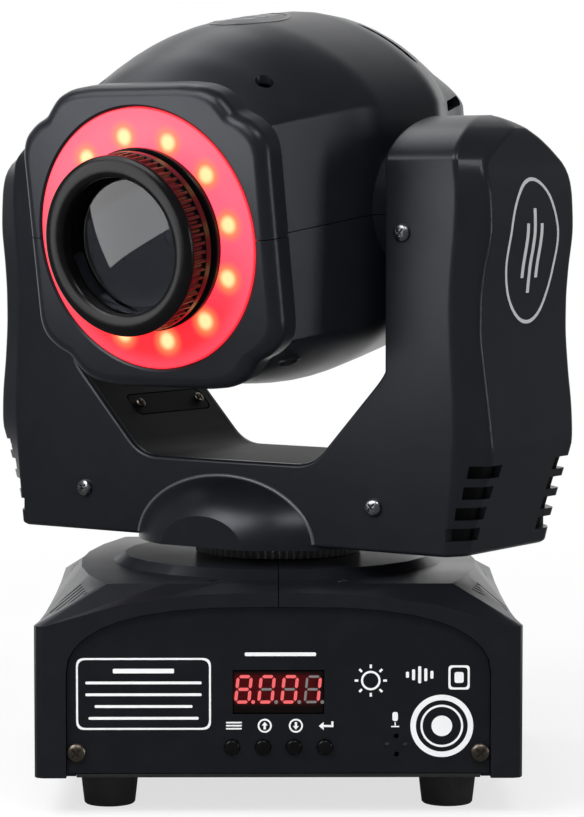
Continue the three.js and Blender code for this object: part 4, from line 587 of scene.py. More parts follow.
class Bench:
    """Moves that shape a mesh, each through Blender's own operators."""

    @staticmethod
    def rest() -> None:
        """Leaves edit mode and deselects everything."""
        if bpy.context.object and bpy.context.object.mode != "OBJECT":
            bpy.ops.object.mode_set(mode="OBJECT")
        bpy.ops.object.select_all(action="DESELECT")

    @staticmethod
    def pick(*objects: bpy.types.Object) -> None:
        """Selects only these objects and makes the first active."""
        Bench.rest()
        for obj in objects:
            obj.select_set(True)
        bpy.context.view_layer.objects.active = objects[0]

    @staticmethod
    @contextmanager
    def editing(obj: bpy.types.Object, mode: str = "FACE") -> Iterator[None]:
        """Edit mode on one object with everything in it selected.

        Args:
            obj: The object.
            mode: The kind of element that is selected.
        """
        Bench.pick(obj)
        bpy.ops.object.mode_set(mode="EDIT")
        bpy.ops.mesh.select_mode(type=mode)
        bpy.ops.mesh.select_all(action="SELECT")
        yield
        bpy.ops.object.mode_set(mode="OBJECT")

    @staticmethod
    def mesh(
        points: Sequence[Sequence[float]], edges: Sequence = (), faces: Sequence = (),
    ) -> bpy.types.Object:
        """A new object from points in millimetres.

        Args:
            points: The vertices.
            edges: Pairs of vertex numbers.
            faces: Rows of vertex numbers.

        Returns:
            The object, at the origin.
        """
        data = bpy.data.meshes.new("draft")
        data.from_pydata([Vector(p) * MM for p in points], edges, faces)
        obj = bpy.data.objects.new("draft", data)
        bpy.context.scene.collection.objects.link(obj)
        return obj

    @staticmethod
    def closed(points: Sequence[Triple], faces: Sequence[Sequence[int]]) -> bpy.types.Object:
        """A new closed object with its faces outwards.

        Args:
            points: The vertices, in millimetres.
            faces: Rows of vertex numbers.

        Returns:
            The object, at the origin.
        """
        obj = Bench.mesh(points, (), faces)
        with Bench.editing(obj):
            bpy.ops.mesh.normals_make_consistent(inside=False)
        return obj

    @staticmethod
    def apply(obj: bpy.types.Object, kind: str, **settings: object) -> bpy.types.Object:
        """Adds a modifier and applies it.

        Args:
            obj: The object.
            kind: The modifier's type.
            settings: Its properties.

        Returns:
            The object.
        """
        Bench.pick(obj)
        modifier = obj.modifiers.new("step", kind)
        for key, value in settings.items():
            setattr(modifier, key, value)
        bpy.ops.object.modifier_apply(modifier=modifier.name)
        return obj

    @staticmethod
    def lathe(profile: Sequence[Pair], axis: str = "z", steps: int = 96) -> bpy.types.Object:
        """Spins a profile of (radius, place) pairs about an axis, in millimetres.

        Args:
            profile: The pairs. A profile that stays off the axis is closed into a ring.
            axis: The axis, x, y or z.
            steps: Steps round the axis.

        Returns:
            The closed object.
        """
        points = [(radius, 0, place) for radius, place in profile]
        edges = [(i, i + 1) for i in range(len(points) - 1)]
        if profile[0][0] > 0:
            edges.append((len(points) - 1, 0))
        obj = Bench.mesh(points, edges)
        with Bench.editing(obj, "VERT"):
            bpy.ops.mesh.spin(steps=steps, angle=2 * math.pi, center=(0, 0, 0), axis=(0, 0, 1))
            bpy.ops.mesh.select_all(action="SELECT")
            bpy.ops.mesh.remove_doubles(threshold=WELD)
            bpy.ops.mesh.normals_make_consistent(inside=False)
        turn = {
            "x": Matrix.Rotation(math.pi / 2, 4, "Y"),
            "y": Matrix.Rotation(-math.pi / 2, 4, "X"),
            "z": Matrix.Identity(4),
        }[axis]
        obj.data.transform(turn)
        return obj

    @staticmethod
    def slab(outline: Sequence[Pair], low: float, high: float, axis: str = "z") -> bpy.types.Object:
        """Extrudes a flat outline between two places on an axis, in millimetres.

        Args:
            outline: (x, y) pairs for axis z, (x, z) pairs for axis y, (y, z) pairs for axis x.
            low: The first place.
            high: The second place.
            axis: The axis.

        Returns:
            The closed object.
        """
        seat = {
            "x": lambda u, v: (low, u, v),
            "y": lambda u, v: (u, low, v),
            "z": lambda u, v: (u, v, low),
        }[axis]
        push = {"x": (1, 0, 0), "y": (0, 1, 0), "z": (0, 0, 1)}[axis]
        obj = Bench.mesh([seat(u, v) for u, v in outline], (), [range(len(outline))])
        with Bench.editing(obj):
            bpy.ops.mesh.extrude_region_move(
                TRANSFORM_OT_translate={"value": Vector(push) * (high - low) * MM},
            )
            bpy.ops.mesh.select_all(action="SELECT")
            bpy.ops.mesh.normals_make_consistent(inside=False)
        return obj

    @staticmethod
    def loft(rings: Sequence[Sequence[Triple]]) -> bpy.types.Object:
        """Skins rings that have the same number of points, and closes both ends.

        Args:
            rings: The rings of points, in millimetres.

        Returns:
            The closed object.
        """
        count = len(rings[0])
        faces = [range(count), range(len(rings) * count - 1, (len(rings) - 1) * count - 1, -1)]
        for r in range(len(rings) - 1):
            here, ahead = r * count, (r + 1) * count
            for i in range(count):
                j = (i + 1) % count
                faces.append((here + i, ahead + i, ahead + j, here + j))
        return Bench.closed([p for ring in rings for p in ring], faces)

    @staticmethod
    def soften(
        obj: bpy.types.Object, width: float, segments: int = 2, angle: float = 30.0,
    ) -> bpy.types.Object:
        """Rounds the sharp edges and smooths the rest.

        Args:
            obj: The object.
            width: The width of the rounding, in millimetres.
            segments: Its steps.
            angle: Edges sharper than this are rounded, in degrees.

        Returns:
            The object.
        """
        Bench.apply(
            obj,
            "BEVEL",
            width=width * MM,
            segments=segments,
            limit_method="ANGLE",
            angle_limit=math.radians(angle),
            use_clamp_overlap=True,
            miter_outer="MITER_ARC",
        )
        return Bench.smooth(obj, angle)

    @staticmethod
    def smooth(obj: bpy.types.Object, angle: float = 35.0) -> bpy.types.Object:
        """Smooths the shading, with normals that follow the larger faces.

        Args:
            obj: The object.
            angle: Edges sharper than this stay sharp, in degrees.

        Returns:
            The object.
        """
        Bench.pick(obj)
        bpy.ops.object.shade_smooth_by_angle(angle=math.radians(angle))
        return Bench.apply(obj, "WEIGHTED_NORMAL", keep_sharp=True)

    @staticmethod
    def carve(
        obj: bpy.types.Object, tool: bpy.types.Object, operation: str = "DIFFERENCE",
    ) -> bpy.types.Object:
        """Cuts, joins or crosses a closed mesh with another, which is used up.

        Args:
            obj: The mesh that stays.
            tool: The mesh that is used up.
            operation: The operation: DIFFERENCE, UNION or INTERSECT.

        Returns:
            The mesh that stays.
        """
        Bench.apply(obj, "BOOLEAN", object=tool, operation=operation, solver="EXACT")
        bpy.data.objects.remove(tool)
        return obj

    @staticmethod
    def join(*objects: bpy.types.Object) -> bpy.types.Object:
        """Joins objects into the first.

        Args:
            objects: The objects.

        Returns:
            The first of them.
        """
        if len(objects) > 1:
            Bench.pick(*objects)
            bpy.ops.object.join()
        return objects[0]

    @staticmethod
    def copy(obj: bpy.types.Object, matrix: Matrix | None = None) -> bpy.types.Object:
        """A copy with its own mesh, after a move, with faces outwards.

        Args:
            obj: The object.
            matrix: The move, in metres.

        Returns:
            The copy.
        """
        made = obj.copy()
        made.data = obj.data.copy()
        bpy.context.scene.collection.objects.link(made)
        if matrix is not None:
            made.data.transform(matrix)
            if matrix.determinant() < 0:
                made.data.flip_normals()
        return made

    @staticmethod
    def fine_copy(
        node: str, width: float, segments: int = 2, angle: float = 32.0,
    ) -> bpy.types.Object:
        """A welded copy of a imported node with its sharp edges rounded.

        Args:
            node: The node's name.
            width: The width of the rounding, in millimetres.
            segments: Its steps.
            angle: Edges sharper than this are rounded, in degrees.

        Returns:
            The copy, in the model's frame.
        """
        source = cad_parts[node]
        made = Bench.mesh([], (), [])
        made.data = source.data.copy()
        made.data.materials.clear()
        with Bench.editing(made, "EDGE"):
            bpy.ops.mesh.customdata_custom_splitnormals_clear()
            bpy.ops.mesh.remove_doubles(threshold=NODE_WELD)
            bpy.ops.mesh.dissolve_limited(angle_limit=FLAT_ANGLE)
        return Bench.soften(made, width, segments, angle)


@dataclass
class Piece:
    """A finished piece's bookkeeping: its name, body, slot, finish and what it stands for."""

    name: str
    body: str
    slot: str
    finish: str
    nodes: tuple[str, ...] = ()

    def keep(
        self, obj: bpy.types.Object, place: Place | None, finishes: Finishes,
    ) -> bpy.types.Object:
        """Puts the piece in place, dresses it and ties it to its body.

        Args:
            obj: The mesh object, at the origin.
            place: The frame in which it was drawn, or None for the model's own.
            finishes: The finishes.

        Returns:
            The object.
        """
        Bench.rest()
        if place is not None:
            obj.data.transform(place.matrix())
        obj.name = self.name
        obj.data.name = self.name
        obj.data.materials.clear()
        obj.data.materials.append(finishes[self.finish])
        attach(obj, self.body)
        if self.nodes:
            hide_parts(*self.nodes)
        log.info("%s: %d faces on %s", self.name, len(obj.data.polygons), self.body)
        return obj


def shift(x: float, y: float, z: float) -> Matrix:
    """A move in millimetres."""
    return Matrix.Translation(Vector((x, y, z)) * MM)


def face_seat(x: float, z: float, face: float, facing: int) -> Matrix:
    """The seat of a screw on a flat face, in front (facing 1) or behind (facing -1)."""
    return shift(x, -facing * face, z) @ Matrix.Rotation(facing * math.pi / 2, 4, "X")


def arc(centre: Pair, radius: float, start: float, end: float, steps: int) -> list[Pair]:
    """Points along an arc.

    Args:
        centre: The arc's centre.
        radius: Its radius.
        start: The first angle, in degrees.
        end: The last angle.
        steps: How many steps lie between them.

    Returns:
        The points, both ends included.
    """
    turns = [math.radians(start + (end - start) * i / steps) for i in range(steps + 1)]
    return [(centre[0] + radius * math.cos(a), centre[1] + radius * math.sin(a)) for a in turns]


def circle(centre: Pair, radius: float) -> list[Pair]:
    """A round outline of 24 points."""
    return arc(centre, radius, 0, 345, 23)


def oval(halves: Pair) -> list[Pair]:
    """An oval outline round the origin, from half its width and half its height."""
    turns = [math.radians(4 * i) for i in range(90)]
    return [(halves[0] * math.cos(t), halves[1] * math.sin(t)) for t in turns]


def ease_corner(before: Pair, corner: Pair, after: Pair, radius: float, steps: int) -> list[Pair]:
    """The curve that eases one corner of an outline.

    Args:
        before: The corner before it.
        corner: The corner.
        after: The corner after it.
        radius: How far from the corner the curve begins.
        steps: Steps in the curve.

    Returns:
        The points.
    """
    here = Vector(corner)
    back, ahead = Vector(before) - here, Vector(after) - here
    start = here + back.normalized() * min(radius, back.length * 0.45)
    end = here + ahead.normalized() * min(radius, ahead.length * 0.45)
    points: list[Pair] = []
    for k in range(steps + 1):
        t = k / steps
        point = start * (1 - t) ** 2 + here * (2 * t * (1 - t)) + end * t * t
        points.append((point.x, point.y))
    return points


def rounded(corners: Sequence[Pair], radius: float, steps: int = 4) -> list[Pair]:
    """A closed outline with each corner eased by a curve.

    Args:
        corners: The corner points, in order.
        radius: How far from the corner the curve begins.
        steps: Steps in each curve.

    Returns:
        The points.
    """
    points: list[Pair] = []
    for i, corner in enumerate(corners):
        after = corners[(i + 1) % len(corners)]
        points += ease_corner(corners[i - 1], corner, after, radius, steps)
    return points


def box_outline(x0: float, x1: float, z0: float, z1: float, radius: float = 0.0) -> list[Pair]:
    """A rectangle, with round corners if a radius is given."""
    corners = [(x0, z0), (x1, z0), (x1, z1), (x0, z1)]
    return rounded(corners, radius) if radius else corners


def band(
    outer: Sequence[Pair], inner: Sequence[Pair], low: float, high: float, axis: str = "y",
) -> bpy.types.Object:
    """A closed frame between two outlines with the same number of points.

    Args:
        outer: The outer outline.
        inner: The inner outline.
        low: Where it starts along the axis.
        high: Where it ends.
        axis: The axis that it is extruded along.

    Returns:
        The object.
    """
    count = len(outer)
    seat = {
        "x": lambda u, v, w: (w, u, v),
        "y": lambda u, v, w: (u, w, v),
        "z": lambda u, v, w: (u, v, w),
    }[axis]
    loops = [(outer, low), (outer, high), (inner, high), (inner, low)]
    points = [seat(u, v, w) for loop, w in loops for u, v in loop]
    faces = []
    for ring in range(4):
        here, ahead = ring * count, ((ring + 1) % 4) * count
        for i in range(count):
            j = (i + 1) % count
            faces.append((here + i, here + j, ahead + j, ahead + i))
    return Bench.closed(points, faces)


def toothed(
    teeth: int, crest: float, root: float, bore: float, low: float, high: float, axis: str,
) -> bpy.types.Object:
    """A ring with straight teeth on its outside.

    Args:
        teeth: How many teeth it has.
        crest: The radius over the teeth.
        root: The radius between them.
        bore: The radius of its hole.
        low: Where it starts along the axis.
        high: Where it ends.
        axis: The axis.

    Returns:
        The ring.
    """
    outer, inner = [], []
    for i in range(teeth * 4):
        angle = math.radians(i * 90 / teeth)
        radius = crest if i % 4 in (0, 1) else root
        outer.append((radius * math.cos(angle), radius * math.sin(angle)))
        inner.append((bore * math.cos(angle), bore * math.sin(angle)))
    return band(outer, inner, low, high, axis)


def ease(table: Sequence[Pair], x: float) -> float:
    """A smooth monotone curve through a table of pairs.

    Args:
        table: (x, y) pairs in order.
        x: Where it is read.

    Returns:
        The curve's height.
    """
    xs = [p[0] for p in table]
    ys = [p[1] for p in table]
    steps = [(ys[i + 1] - ys[i]) / (xs[i + 1] - xs[i]) for i in range(len(xs) - 1)]
    slopes = [steps[0]]
    for i in range(1, len(steps)):
        a, b = steps[i - 1], steps[i]
        slopes.append(0.0 if a * b <= 0 else 2 * a * b / (a + b))
    slopes.append(steps[-1])
    i = max(0, min(len(steps) - 1, sum(1 for v in xs if v <= x) - 1))
    width = xs[i + 1] - xs[i]
    t = min(max((x - xs[i]) / width, 0.0), 1.0)
    return (
        ys[i] * (1 + 2 * t) * (1 - t) ** 2
        + slopes[i] * width * t * (1 - t) ** 2
        + ys[i + 1] * t * t * (3 - 2 * t)
        + slopes[i + 1] * width * t * t * (t - 1)
    )


@dataclass
class Screw:
    """A pan head screw with a cross recess, its axis along +Z and its seat at height 0.

    The dome is given in shares of the radius and the height.
    """

    radius: float = 3.2
    height: float = 2.0
    slot_share: float = 0.19375
    slot_reach: float = 0.56
    slot_floor: float = 0.35
    shank_share: float = 0.5
    shank_depth: float = 0.6
    dome: tuple[Pair, ...] = (
        (1.0, 0.0), (1.0, 0.30), (0.94, 0.55), (0.78, 0.80), (0.5, 0.95), (0.0, 1.0),
    )

    def model(self) -> bpy.types.Object:
        """Models one screw head."""
        r, h = self.radius, self.height
        foot = -h * self.shank_depth
        shank = [(0.0, foot), (r * self.shank_share, foot), (r * self.shank_share, 0.0)]
        obj = Bench.lathe([*shank, *((r * u, h * v) for u, v in self.dome)], "z", 40)
        half, reach = self.slot_share * r / 2, self.slot_reach * r
        for turn in (math.pi / 4, 3 * math.pi / 4):
            tool = Bench.slab(box_outline(-reach, reach, -half, half), h * self.slot_floor, h * 1.5)
            tool.data.transform(Matrix.Rotation(turn, 4, "Z"))
            Bench.carve(obj, tool)
        return Bench.soften(obj, 0.12, 2, 40)


@dataclass
class Crew:
    """What every sub-assembly shares: the finishes and the ways of keeping its pieces."""

    finishes: Finishes

    def keep(
        self,
        obj: bpy.types.Object,
        name: str,
        body: str,
        slot: str,
        finish: str,
        place: Place | None,
        nodes: tuple[str, ...] = (),
    ) -> bpy.types.Object:
        """Dresses and ties one piece."""
        return Piece(name, body, slot, finish, nodes).keep(obj, place, self.finishes)

    def refine(
        self,
        node: str,
        body: str,
        slot: str,
        finish: str,
        width: float = 0.4,
        segments: int = 2,
        angle: float = 32.0,
    ) -> bpy.types.Object:
        """Replaces a node by its own shape with rounded edges."""
        made = Bench.fine_copy(node, width, segments, angle)
        return self.keep(made, f"{node}_fine", body, slot, finish, None, (node,))

    def screws(
        self,
        name: str,
        body: str,
        finish: str,
        screw: Screw,
        place: Place,
        seats: Sequence[Matrix],
    ) -> None:
        """Sets copies of a screw on their seats as one piece.

        Args:
            name: The piece's name.
            body: The body that it rides on.
            finish: The name of its finish.
            screw: The screw.
            place: The frame in which the seats are given.
            seats: The place and turn of each screw.
        """
        first = screw.model()
        copies = [Bench.copy(first, seat) for seat in seats]
        bpy.data.objects.remove(first)
        self.keep(Bench.join(*copies), name, body, "bright_steel", finish, place)

    def dress(self, finish: str, *nodes: str) -> None:
        """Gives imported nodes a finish.

        Args:
            finish: The name of the finish.
            nodes: The nodes' names.
        """
        for node in nodes:
            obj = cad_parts[node]
            if not obj.material_slots:
                obj.data.materials.append(self.finishes[finish])
            for slot in obj.material_slots:
                slot.material = self.finishes[finish]


# Base.


@dataclass
class BaseUnit(Crew):
    """The base: covers, panels, display, buttons, prints, sockets and feet."""

    cover_round: float = 1.1
    cover_screw_at: Triple = (20.7, 61.0, 61.2)
    panel_face: float = 78.2
    panel_screw_at: Pair = (66.2, 8.2)
    foot_at: Pair = (56.5, 56.2)
    foot_profile: tuple[Pair, ...] = (
        (4.0, -12.5), (8.1, -12.5), (8.5, -12.1), (9.0, -8.0), (9.75, -1.0), (9.5, -0.3),
        (9.0, 0.0), (0.0, 0.0), (0.0, -6.5), (4.0, -6.5), (4.0, -12.5),
    )
    button_pitch: float = 10.13
    button_height: float = 10.0
    button_profile: tuple[Pair, ...] = (
        (0.0, -74.7), (1.2, -74.7), (1.2, -75.1), (3.3, -75.1), (3.3, -75.9), (2.5, -75.9),
        (2.5, -78.9), (2.42, -79.2), (2.1, -79.5), (1.5, -79.68), (0.8, -79.7), (0.0, -79.55),
    )

    print_gap: float = 0.01
    print_depth: float = 0.07
    note_frame: tuple[float, ...] = (-66.2, -22.1, 15.8, 39.5, 2.6, 0.62)
    note_at: Pair = (-44.15, 35.2)
    note_pitch: float = 3.9
    note_rows: tuple[Pair, ...] = ((10.0, 1.5), (19.0, 0.9), (19.0, 0.9), (16.0, 0.9), (18.0, 0.9))
    title_bar: tuple[float, ...] = (-11.0, 12.3, 40.1, 41.3, 0.5)
    menu_bar: tuple[float, ...] = (-17.2, -12.0, 15.9, 16.4, 0.2)
    arrow_at: tuple[Triple, ...] = ((-4.5, 17.1, 1), (5.7, 17.1, -1))
    arrow_ring: Pair = (2.3, 1.75)
    arrow: tuple[Pair, ...] = (
        (0.0, 1.25), (1.0, 0.1), (0.38, 0.1), (0.38, -1.2), (-0.38, -1.2), (-0.38, 0.1),
        (-1.0, 0.1),
    )
    enter_arrow: tuple[Pair, ...] = (
        (13.2, 17.0), (14.8, 18.3), (14.8, 17.35), (17.3, 17.35), (17.3, 18.5), (18.0, 18.5),
        (18.0, 16.65), (14.8, 16.65), (14.8, 15.7),
    )
    sun_at: Pair = (30.2, 32.0)
    sun_ring: Pair = (3.2, 2.5)
    sun_rays: Pair = (4.1, 5.3)
    sound_at: Pair = (42.2, 33.9)
    sound_pitch: float = 2.0
    sound_bars: tuple[float, ...] = (2.0, 3.6, 5.6, 4.2, 2.6)
    box_frame: tuple[float, ...] = (55.6, 62.6, 29.0, 37.0, 1.2, 0.7)
    box_core: tuple[float, ...] = (57.6, 60.6, 31.2, 34.8, 0.8)
    microphone_sign: tuple[tuple[float, ...], ...] = (
        (37.3, 39.1, 18.6, 21.6, 0.8), (38.0, 38.4, 17.0, 18.2), (36.9, 39.5, 16.6, 17.0),
    )
    target_at: Pair = (53.5, 17.0)
    target_rings: tuple[tuple[float, float, int], ...] = ((10.3, 8.5, 72), (7.0, 6.3, 64))
    target_core: float = 3.4

    digits: str = "8001"
    digit_bars: tuple[tuple[str, str], ...] = (("8", "abcdefg"), ("0", "abcdef"), ("1", "bc"))
    digit_at: Pair = (-11.45, 29.05)
    digit_pitch: float = 7.55
    digit_half: Pair = (2.15, 4.2)
    digit_slant: float = 0.1
    bar_gap: float = 0.3
    lit_half: float = 0.52
    unlit_half: float = 0.4
    halo_half: float = 0.82
    dot_at: Pair = (3.15, 24.85)
    dot_radius: float = 0.62
    bar_layer: Pair = (-77.74, -77.68)
    halo_layer: Pair = (-77.67, -77.64)

    blade_at: tuple[Pair, ...] = ((-44, 30), (-51, 26), (-37, 26))
    blade_half: Pair = (1.15, 2.15)
    blade_layer: Pair = (66.5, 77.9)
    pin_centre: Pair = (11, 26)
    pin_circle: float = 5.0
    pin_radius: float = 1.3
    pin_layer: Pair = (68.5, 78.9)

    def covers(self) -> None:
        """The two moulded halves, the screws in their wells and the plate below."""
        for side in ("left", "right"):
            node = f"base_cover_{side}"
            self.refine(node, "base", "black_shell", "shell_black", self.cover_round, 3, 24.0)
        x, y, z = self.cover_screw_at
        seats = [shift(sx * x, sy * y, z) for sx in (-1, 1) for sy in (-1, 1)]
        self.screws("cover_screws", "base", "screw_bronze", Screw(2.5, 1.2), Place.BASE, seats)
        self.refine("base_plate", "base", "panel_black", "case_black", 0.3)

    def panels(self) -> None:
        """Both end panels and their screws."""
        for end in ("front", "rear"):
            self.refine(f"{end}_panel", "base", "panel_black", "panel_black", 0.35, 2, 40.0)
        x, z = self.panel_screw_at
        for end, facing in (("front", 1), ("rear", -1)):
            seats = [face_seat(side * x, z, self.panel_face, facing) for side in (-1, 1)]
            screw = Screw(3.2, 1.9)
            self.screws(f"{end}_panel_screws", "base", "screw_bronze", screw, Place.BASE, seats)

    def feet(self) -> None:
        """The four rubber feet."""
        for end, y in (("front", -self.foot_at[1]), ("rear", self.foot_at[1])):
            for side, x in (("left", -self.foot_at[0]), ("right", self.foot_at[0])):
                obj = Bench.lathe(self.foot_profile, "z", 64)
                obj.data.transform(shift(x, y, 0))
                Bench.smooth(obj, 40)
                node, rubber = f"foot_{end}_{side}", "rubber_black"
                self.keep(obj, f"{node}_fine", "base", rubber, rubber, Place.BASE, (node,))

    def buttons(self) -> None:
        """The four domed push buttons."""
        for i, name in enumerate(("menu", "up", "down", "enter")):
            obj = Bench.lathe(self.button_profile, "y", 56)
            obj.data.transform(shift((i - 1.5) * self.button_pitch, 0, self.button_height))
            Bench.smooth(obj, 50)
            node = f"{name}_button"
            self.keep(obj, f"{node}_cap", node, "rubber_black", "tube_black", Place.BASE, (node,))

    def print_layer(self) -> Pair:
        """Where the printed layer begins and ends in front of the panel."""
        face = -self.panel_face - self.print_gap
        return face - self.print_depth, face

    def mark(self, outline: Sequence[Pair]) -> bpy.types.Object:
        """One printed shape on the front panel."""
        return Bench.slab(outline, *self.print_layer(), "y")

    def ring_mark(
        self, centre: Pair, outer: float, inner: float, steps: int = 48,
    ) -> bpy.types.Object:
        """One printed ring on the front panel."""
        big, small = (arc(centre, radius, 0, 360, steps)[:-1] for radius in (outer, inner))
        return band(big, small, *self.print_layer())

    def frame_mark(
        self, x0: float, x1: float, z0: float, z1: float, radius: float, line: float,
    ) -> bpy.types.Object:
        """One printed frame with round corners.

        Args:
            x0: Its left side.
            x1: Its right side.
            z0: Its lower side.
            z1: Its upper side.
            radius: The radius of its corners.
            line: The width of its line.

        Returns:
            The frame.
        """
        outer = box_outline(x0, x1, z0, z1, radius)
        inner = box_outline(x0 + line, x1 - line, z0 + line, z1 - line, radius)
        return band(outer, inner, *self.print_layer())

    def note(self) -> list[bpy.types.Object]:
        """The framed note on the left of the panel, its lines ruled as plain bars."""
        marks = [self.frame_mark(*self.note_frame)]
        x, top = self.note_at
        for row, (half, height) in enumerate(self.note_rows):
            z = top - row * self.note_pitch
            bar = box_outline(x - half, x + half, z - height / 2, z + height / 2, 0.4)
            marks.append(self.mark(bar))
        return marks

    def key_signs(self) -> list[bpy.types.Object]:
        """The bar over the display and the signs over the buttons."""
        x0, x1, z0, z1, radius = self.menu_bar
        marks = [self.mark(box_outline(*self.title_bar))]
        marks += [self.mark(box_outline(x0, x1, z0 + row, z1 + row, radius)) for row in range(3)]
        for x, z, up in self.arrow_at:
            marks.append(self.ring_mark((x, z), *self.arrow_ring))
            marks.append(self.mark([(x + u, z + up * v) for u, v in self.arrow]))
        return [*marks, self.mark(self.enter_arrow)]

    def side_signs(self) -> list[bpy.types.Object]:
        """The simple signs on the right of the panel."""
        marks = [self.ring_mark(self.sun_at, *self.sun_ring)]
        near, far = self.sun_rays
        for i in range(8):
            foot = arc(self.sun_at, near, i * 45 - 5, i * 45 + 5, 1)
            tip = arc(self.sun_at, far, i * 45 + 4, i * 45 - 4, 1)
            marks.append(self.mark(foot + tip))
        for i, height in enumerate(self.sound_bars):
            x, z = self.sound_at[0] + i * self.sound_pitch, self.sound_at[1]
            bar = box_outline(x - 0.5, x + 0.5, z - height / 2, z + height / 2, 0.4)
            marks.append(self.mark(bar))
        marks.append(self.frame_mark(*self.box_frame))
        marks += [self.mark(box_outline(*bar)) for bar in (self.box_core, *self.microphone_sign)]
        marks += [self.ring_mark(self.target_at, *ring) for ring in self.target_rings]
        return [*marks, self.mark(circle(self.target_at, self.target_core))]

    def prints(self) -> None:
        """Plain marks where the panel is printed: a ruled note, arrows and simple signs."""
        obj = Bench.join(*self.note(), *self.key_signs(), *self.side_signs())
        self.keep(obj, "panel_prints", "base", "panel_black", "print_white", Place.BASE)

    def display(self) -> None:
        """The tinted window and its four slanted digits."""
        self.refine("display_module", "base", "display_red", "window_red", 0.3)
        on = dict(self.digit_bars)
        lit, unlit, halo = [], [], []
        for place, digit in enumerate(self.digits):
            x = self.digit_at[0] + place * self.digit_pitch
            halos = self.segments(x, self.halo_half)
            kinds = ((True, self.lit_half, lit), (False, self.unlit_half, unlit))
            for shines, half, shapes in kinds:
                for name, outline in self.segments(x, half).items():
                    if (name in on[digit]) is shines:
                        shapes.append(Bench.slab(outline, *self.bar_layer, "y"))
            halo += [Bench.slab(halos[name], *self.halo_layer, "y") for name in on[digit]]
            dot = circle((x + self.dot_at[0], self.dot_at[1]), self.dot_radius)
            (unlit if place else lit).append(Bench.slab(dot, *self.bar_layer, "y"))
        for name, shapes in (("halo", halo), ("lit", lit), ("unlit", unlit)):
            # The unlit bars take a faint glow: painted light.
            finish = "segment_unlit_painted_glow" if name == "unlit" else f"segment_{name}"
            obj = Bench.join(*shapes)
            self.keep(obj, f"display_{name}", "base", "display_red", finish, Place.BASE)

    def segments(self, x: float, line: float) -> dict[str, list[Pair]]:
        """The seven bars of a digit.

        Args:
            x: The digit's centre.
            line: Half the width of a bar.

        Returns:
            The outline of each bar by its usual letter.
        """
        half, rise = self.digit_half
        ends = {
            "a": ((-half, rise), (half, rise)),
            "b": ((half, 0), (half, rise)),
            "c": ((half, -rise), (half, 0)),
            "d": ((-half, -rise), (half, -rise)),
            "e": ((-half, -rise), (-half, 0)),
            "f": ((-half, 0), (-half, rise)),
            "g": ((-half, 0), (half, 0)),
        }
        bars = {}
        for name, (start, end) in ends.items():
            a, b = Vector(start), Vector(end)
            along = (b - a).normalized()
            across = Vector((-along.y, along.x)) * line
            a, b = a + along * self.bar_gap, b - along * self.bar_gap
            tip = along * line
            loop = [a, a + tip - across, b - tip - across, b, b - tip + across, a + tip + across]
            bars[name] = [(x + p.x + p.y * self.digit_slant, self.digit_at[1] + p.y) for p in loop]
        return bars

    def rear(self) -> None:
        """The inlet, fuse holder and signal sockets, and the pins in them."""
        for node in ("power_inlet", "fuse_holder", "signal_in_socket", "signal_out_socket"):
            self.refine(node, "base", "socket_black", "socket_black", 0.35, 2, 38.0)
        pins = []
        across, up = self.blade_half
        for x, z in self.blade_at:
            outline = box_outline(x - across, x + across, z - up, z + up, 0.5)
            pins.append(Bench.slab(outline, *self.blade_layer, "y"))
        for centre in arc(self.pin_centre, self.pin_circle, 180, 360, 2):
            pins.append(Bench.slab(circle(centre, self.pin_radius), *self.pin_layer, "y"))
        pins = [Bench.soften(pin, 0.25, 2, 40) for pin in pins]
        obj = Bench.join(*pins)
        self.keep(obj, "socket_pins", "base", "socket_black", "steel_bright", Place.BASE)

    def insides(self) -> None:
        """The parts inside the base."""
        self.dress("board_green", "control_board")
        self.dress("steel_zinc", "microphone", "pan_bridge")
        self.dress("aluminium_bare", "power_supply", "pan_motor_pulley")
        self.dress("steel_bright", "pan_bearing")
        self.dress("belt_black", "pan_belt")
        self.dress("case_black", "pan_motor")

    def build(self) -> None:
        """Builds the whole base."""
        self.covers()
        self.panels()
        self.feet()
        self.buttons()
        self.display()
        self.prints()
        self.rear()
        self.insides()


# Yoke.


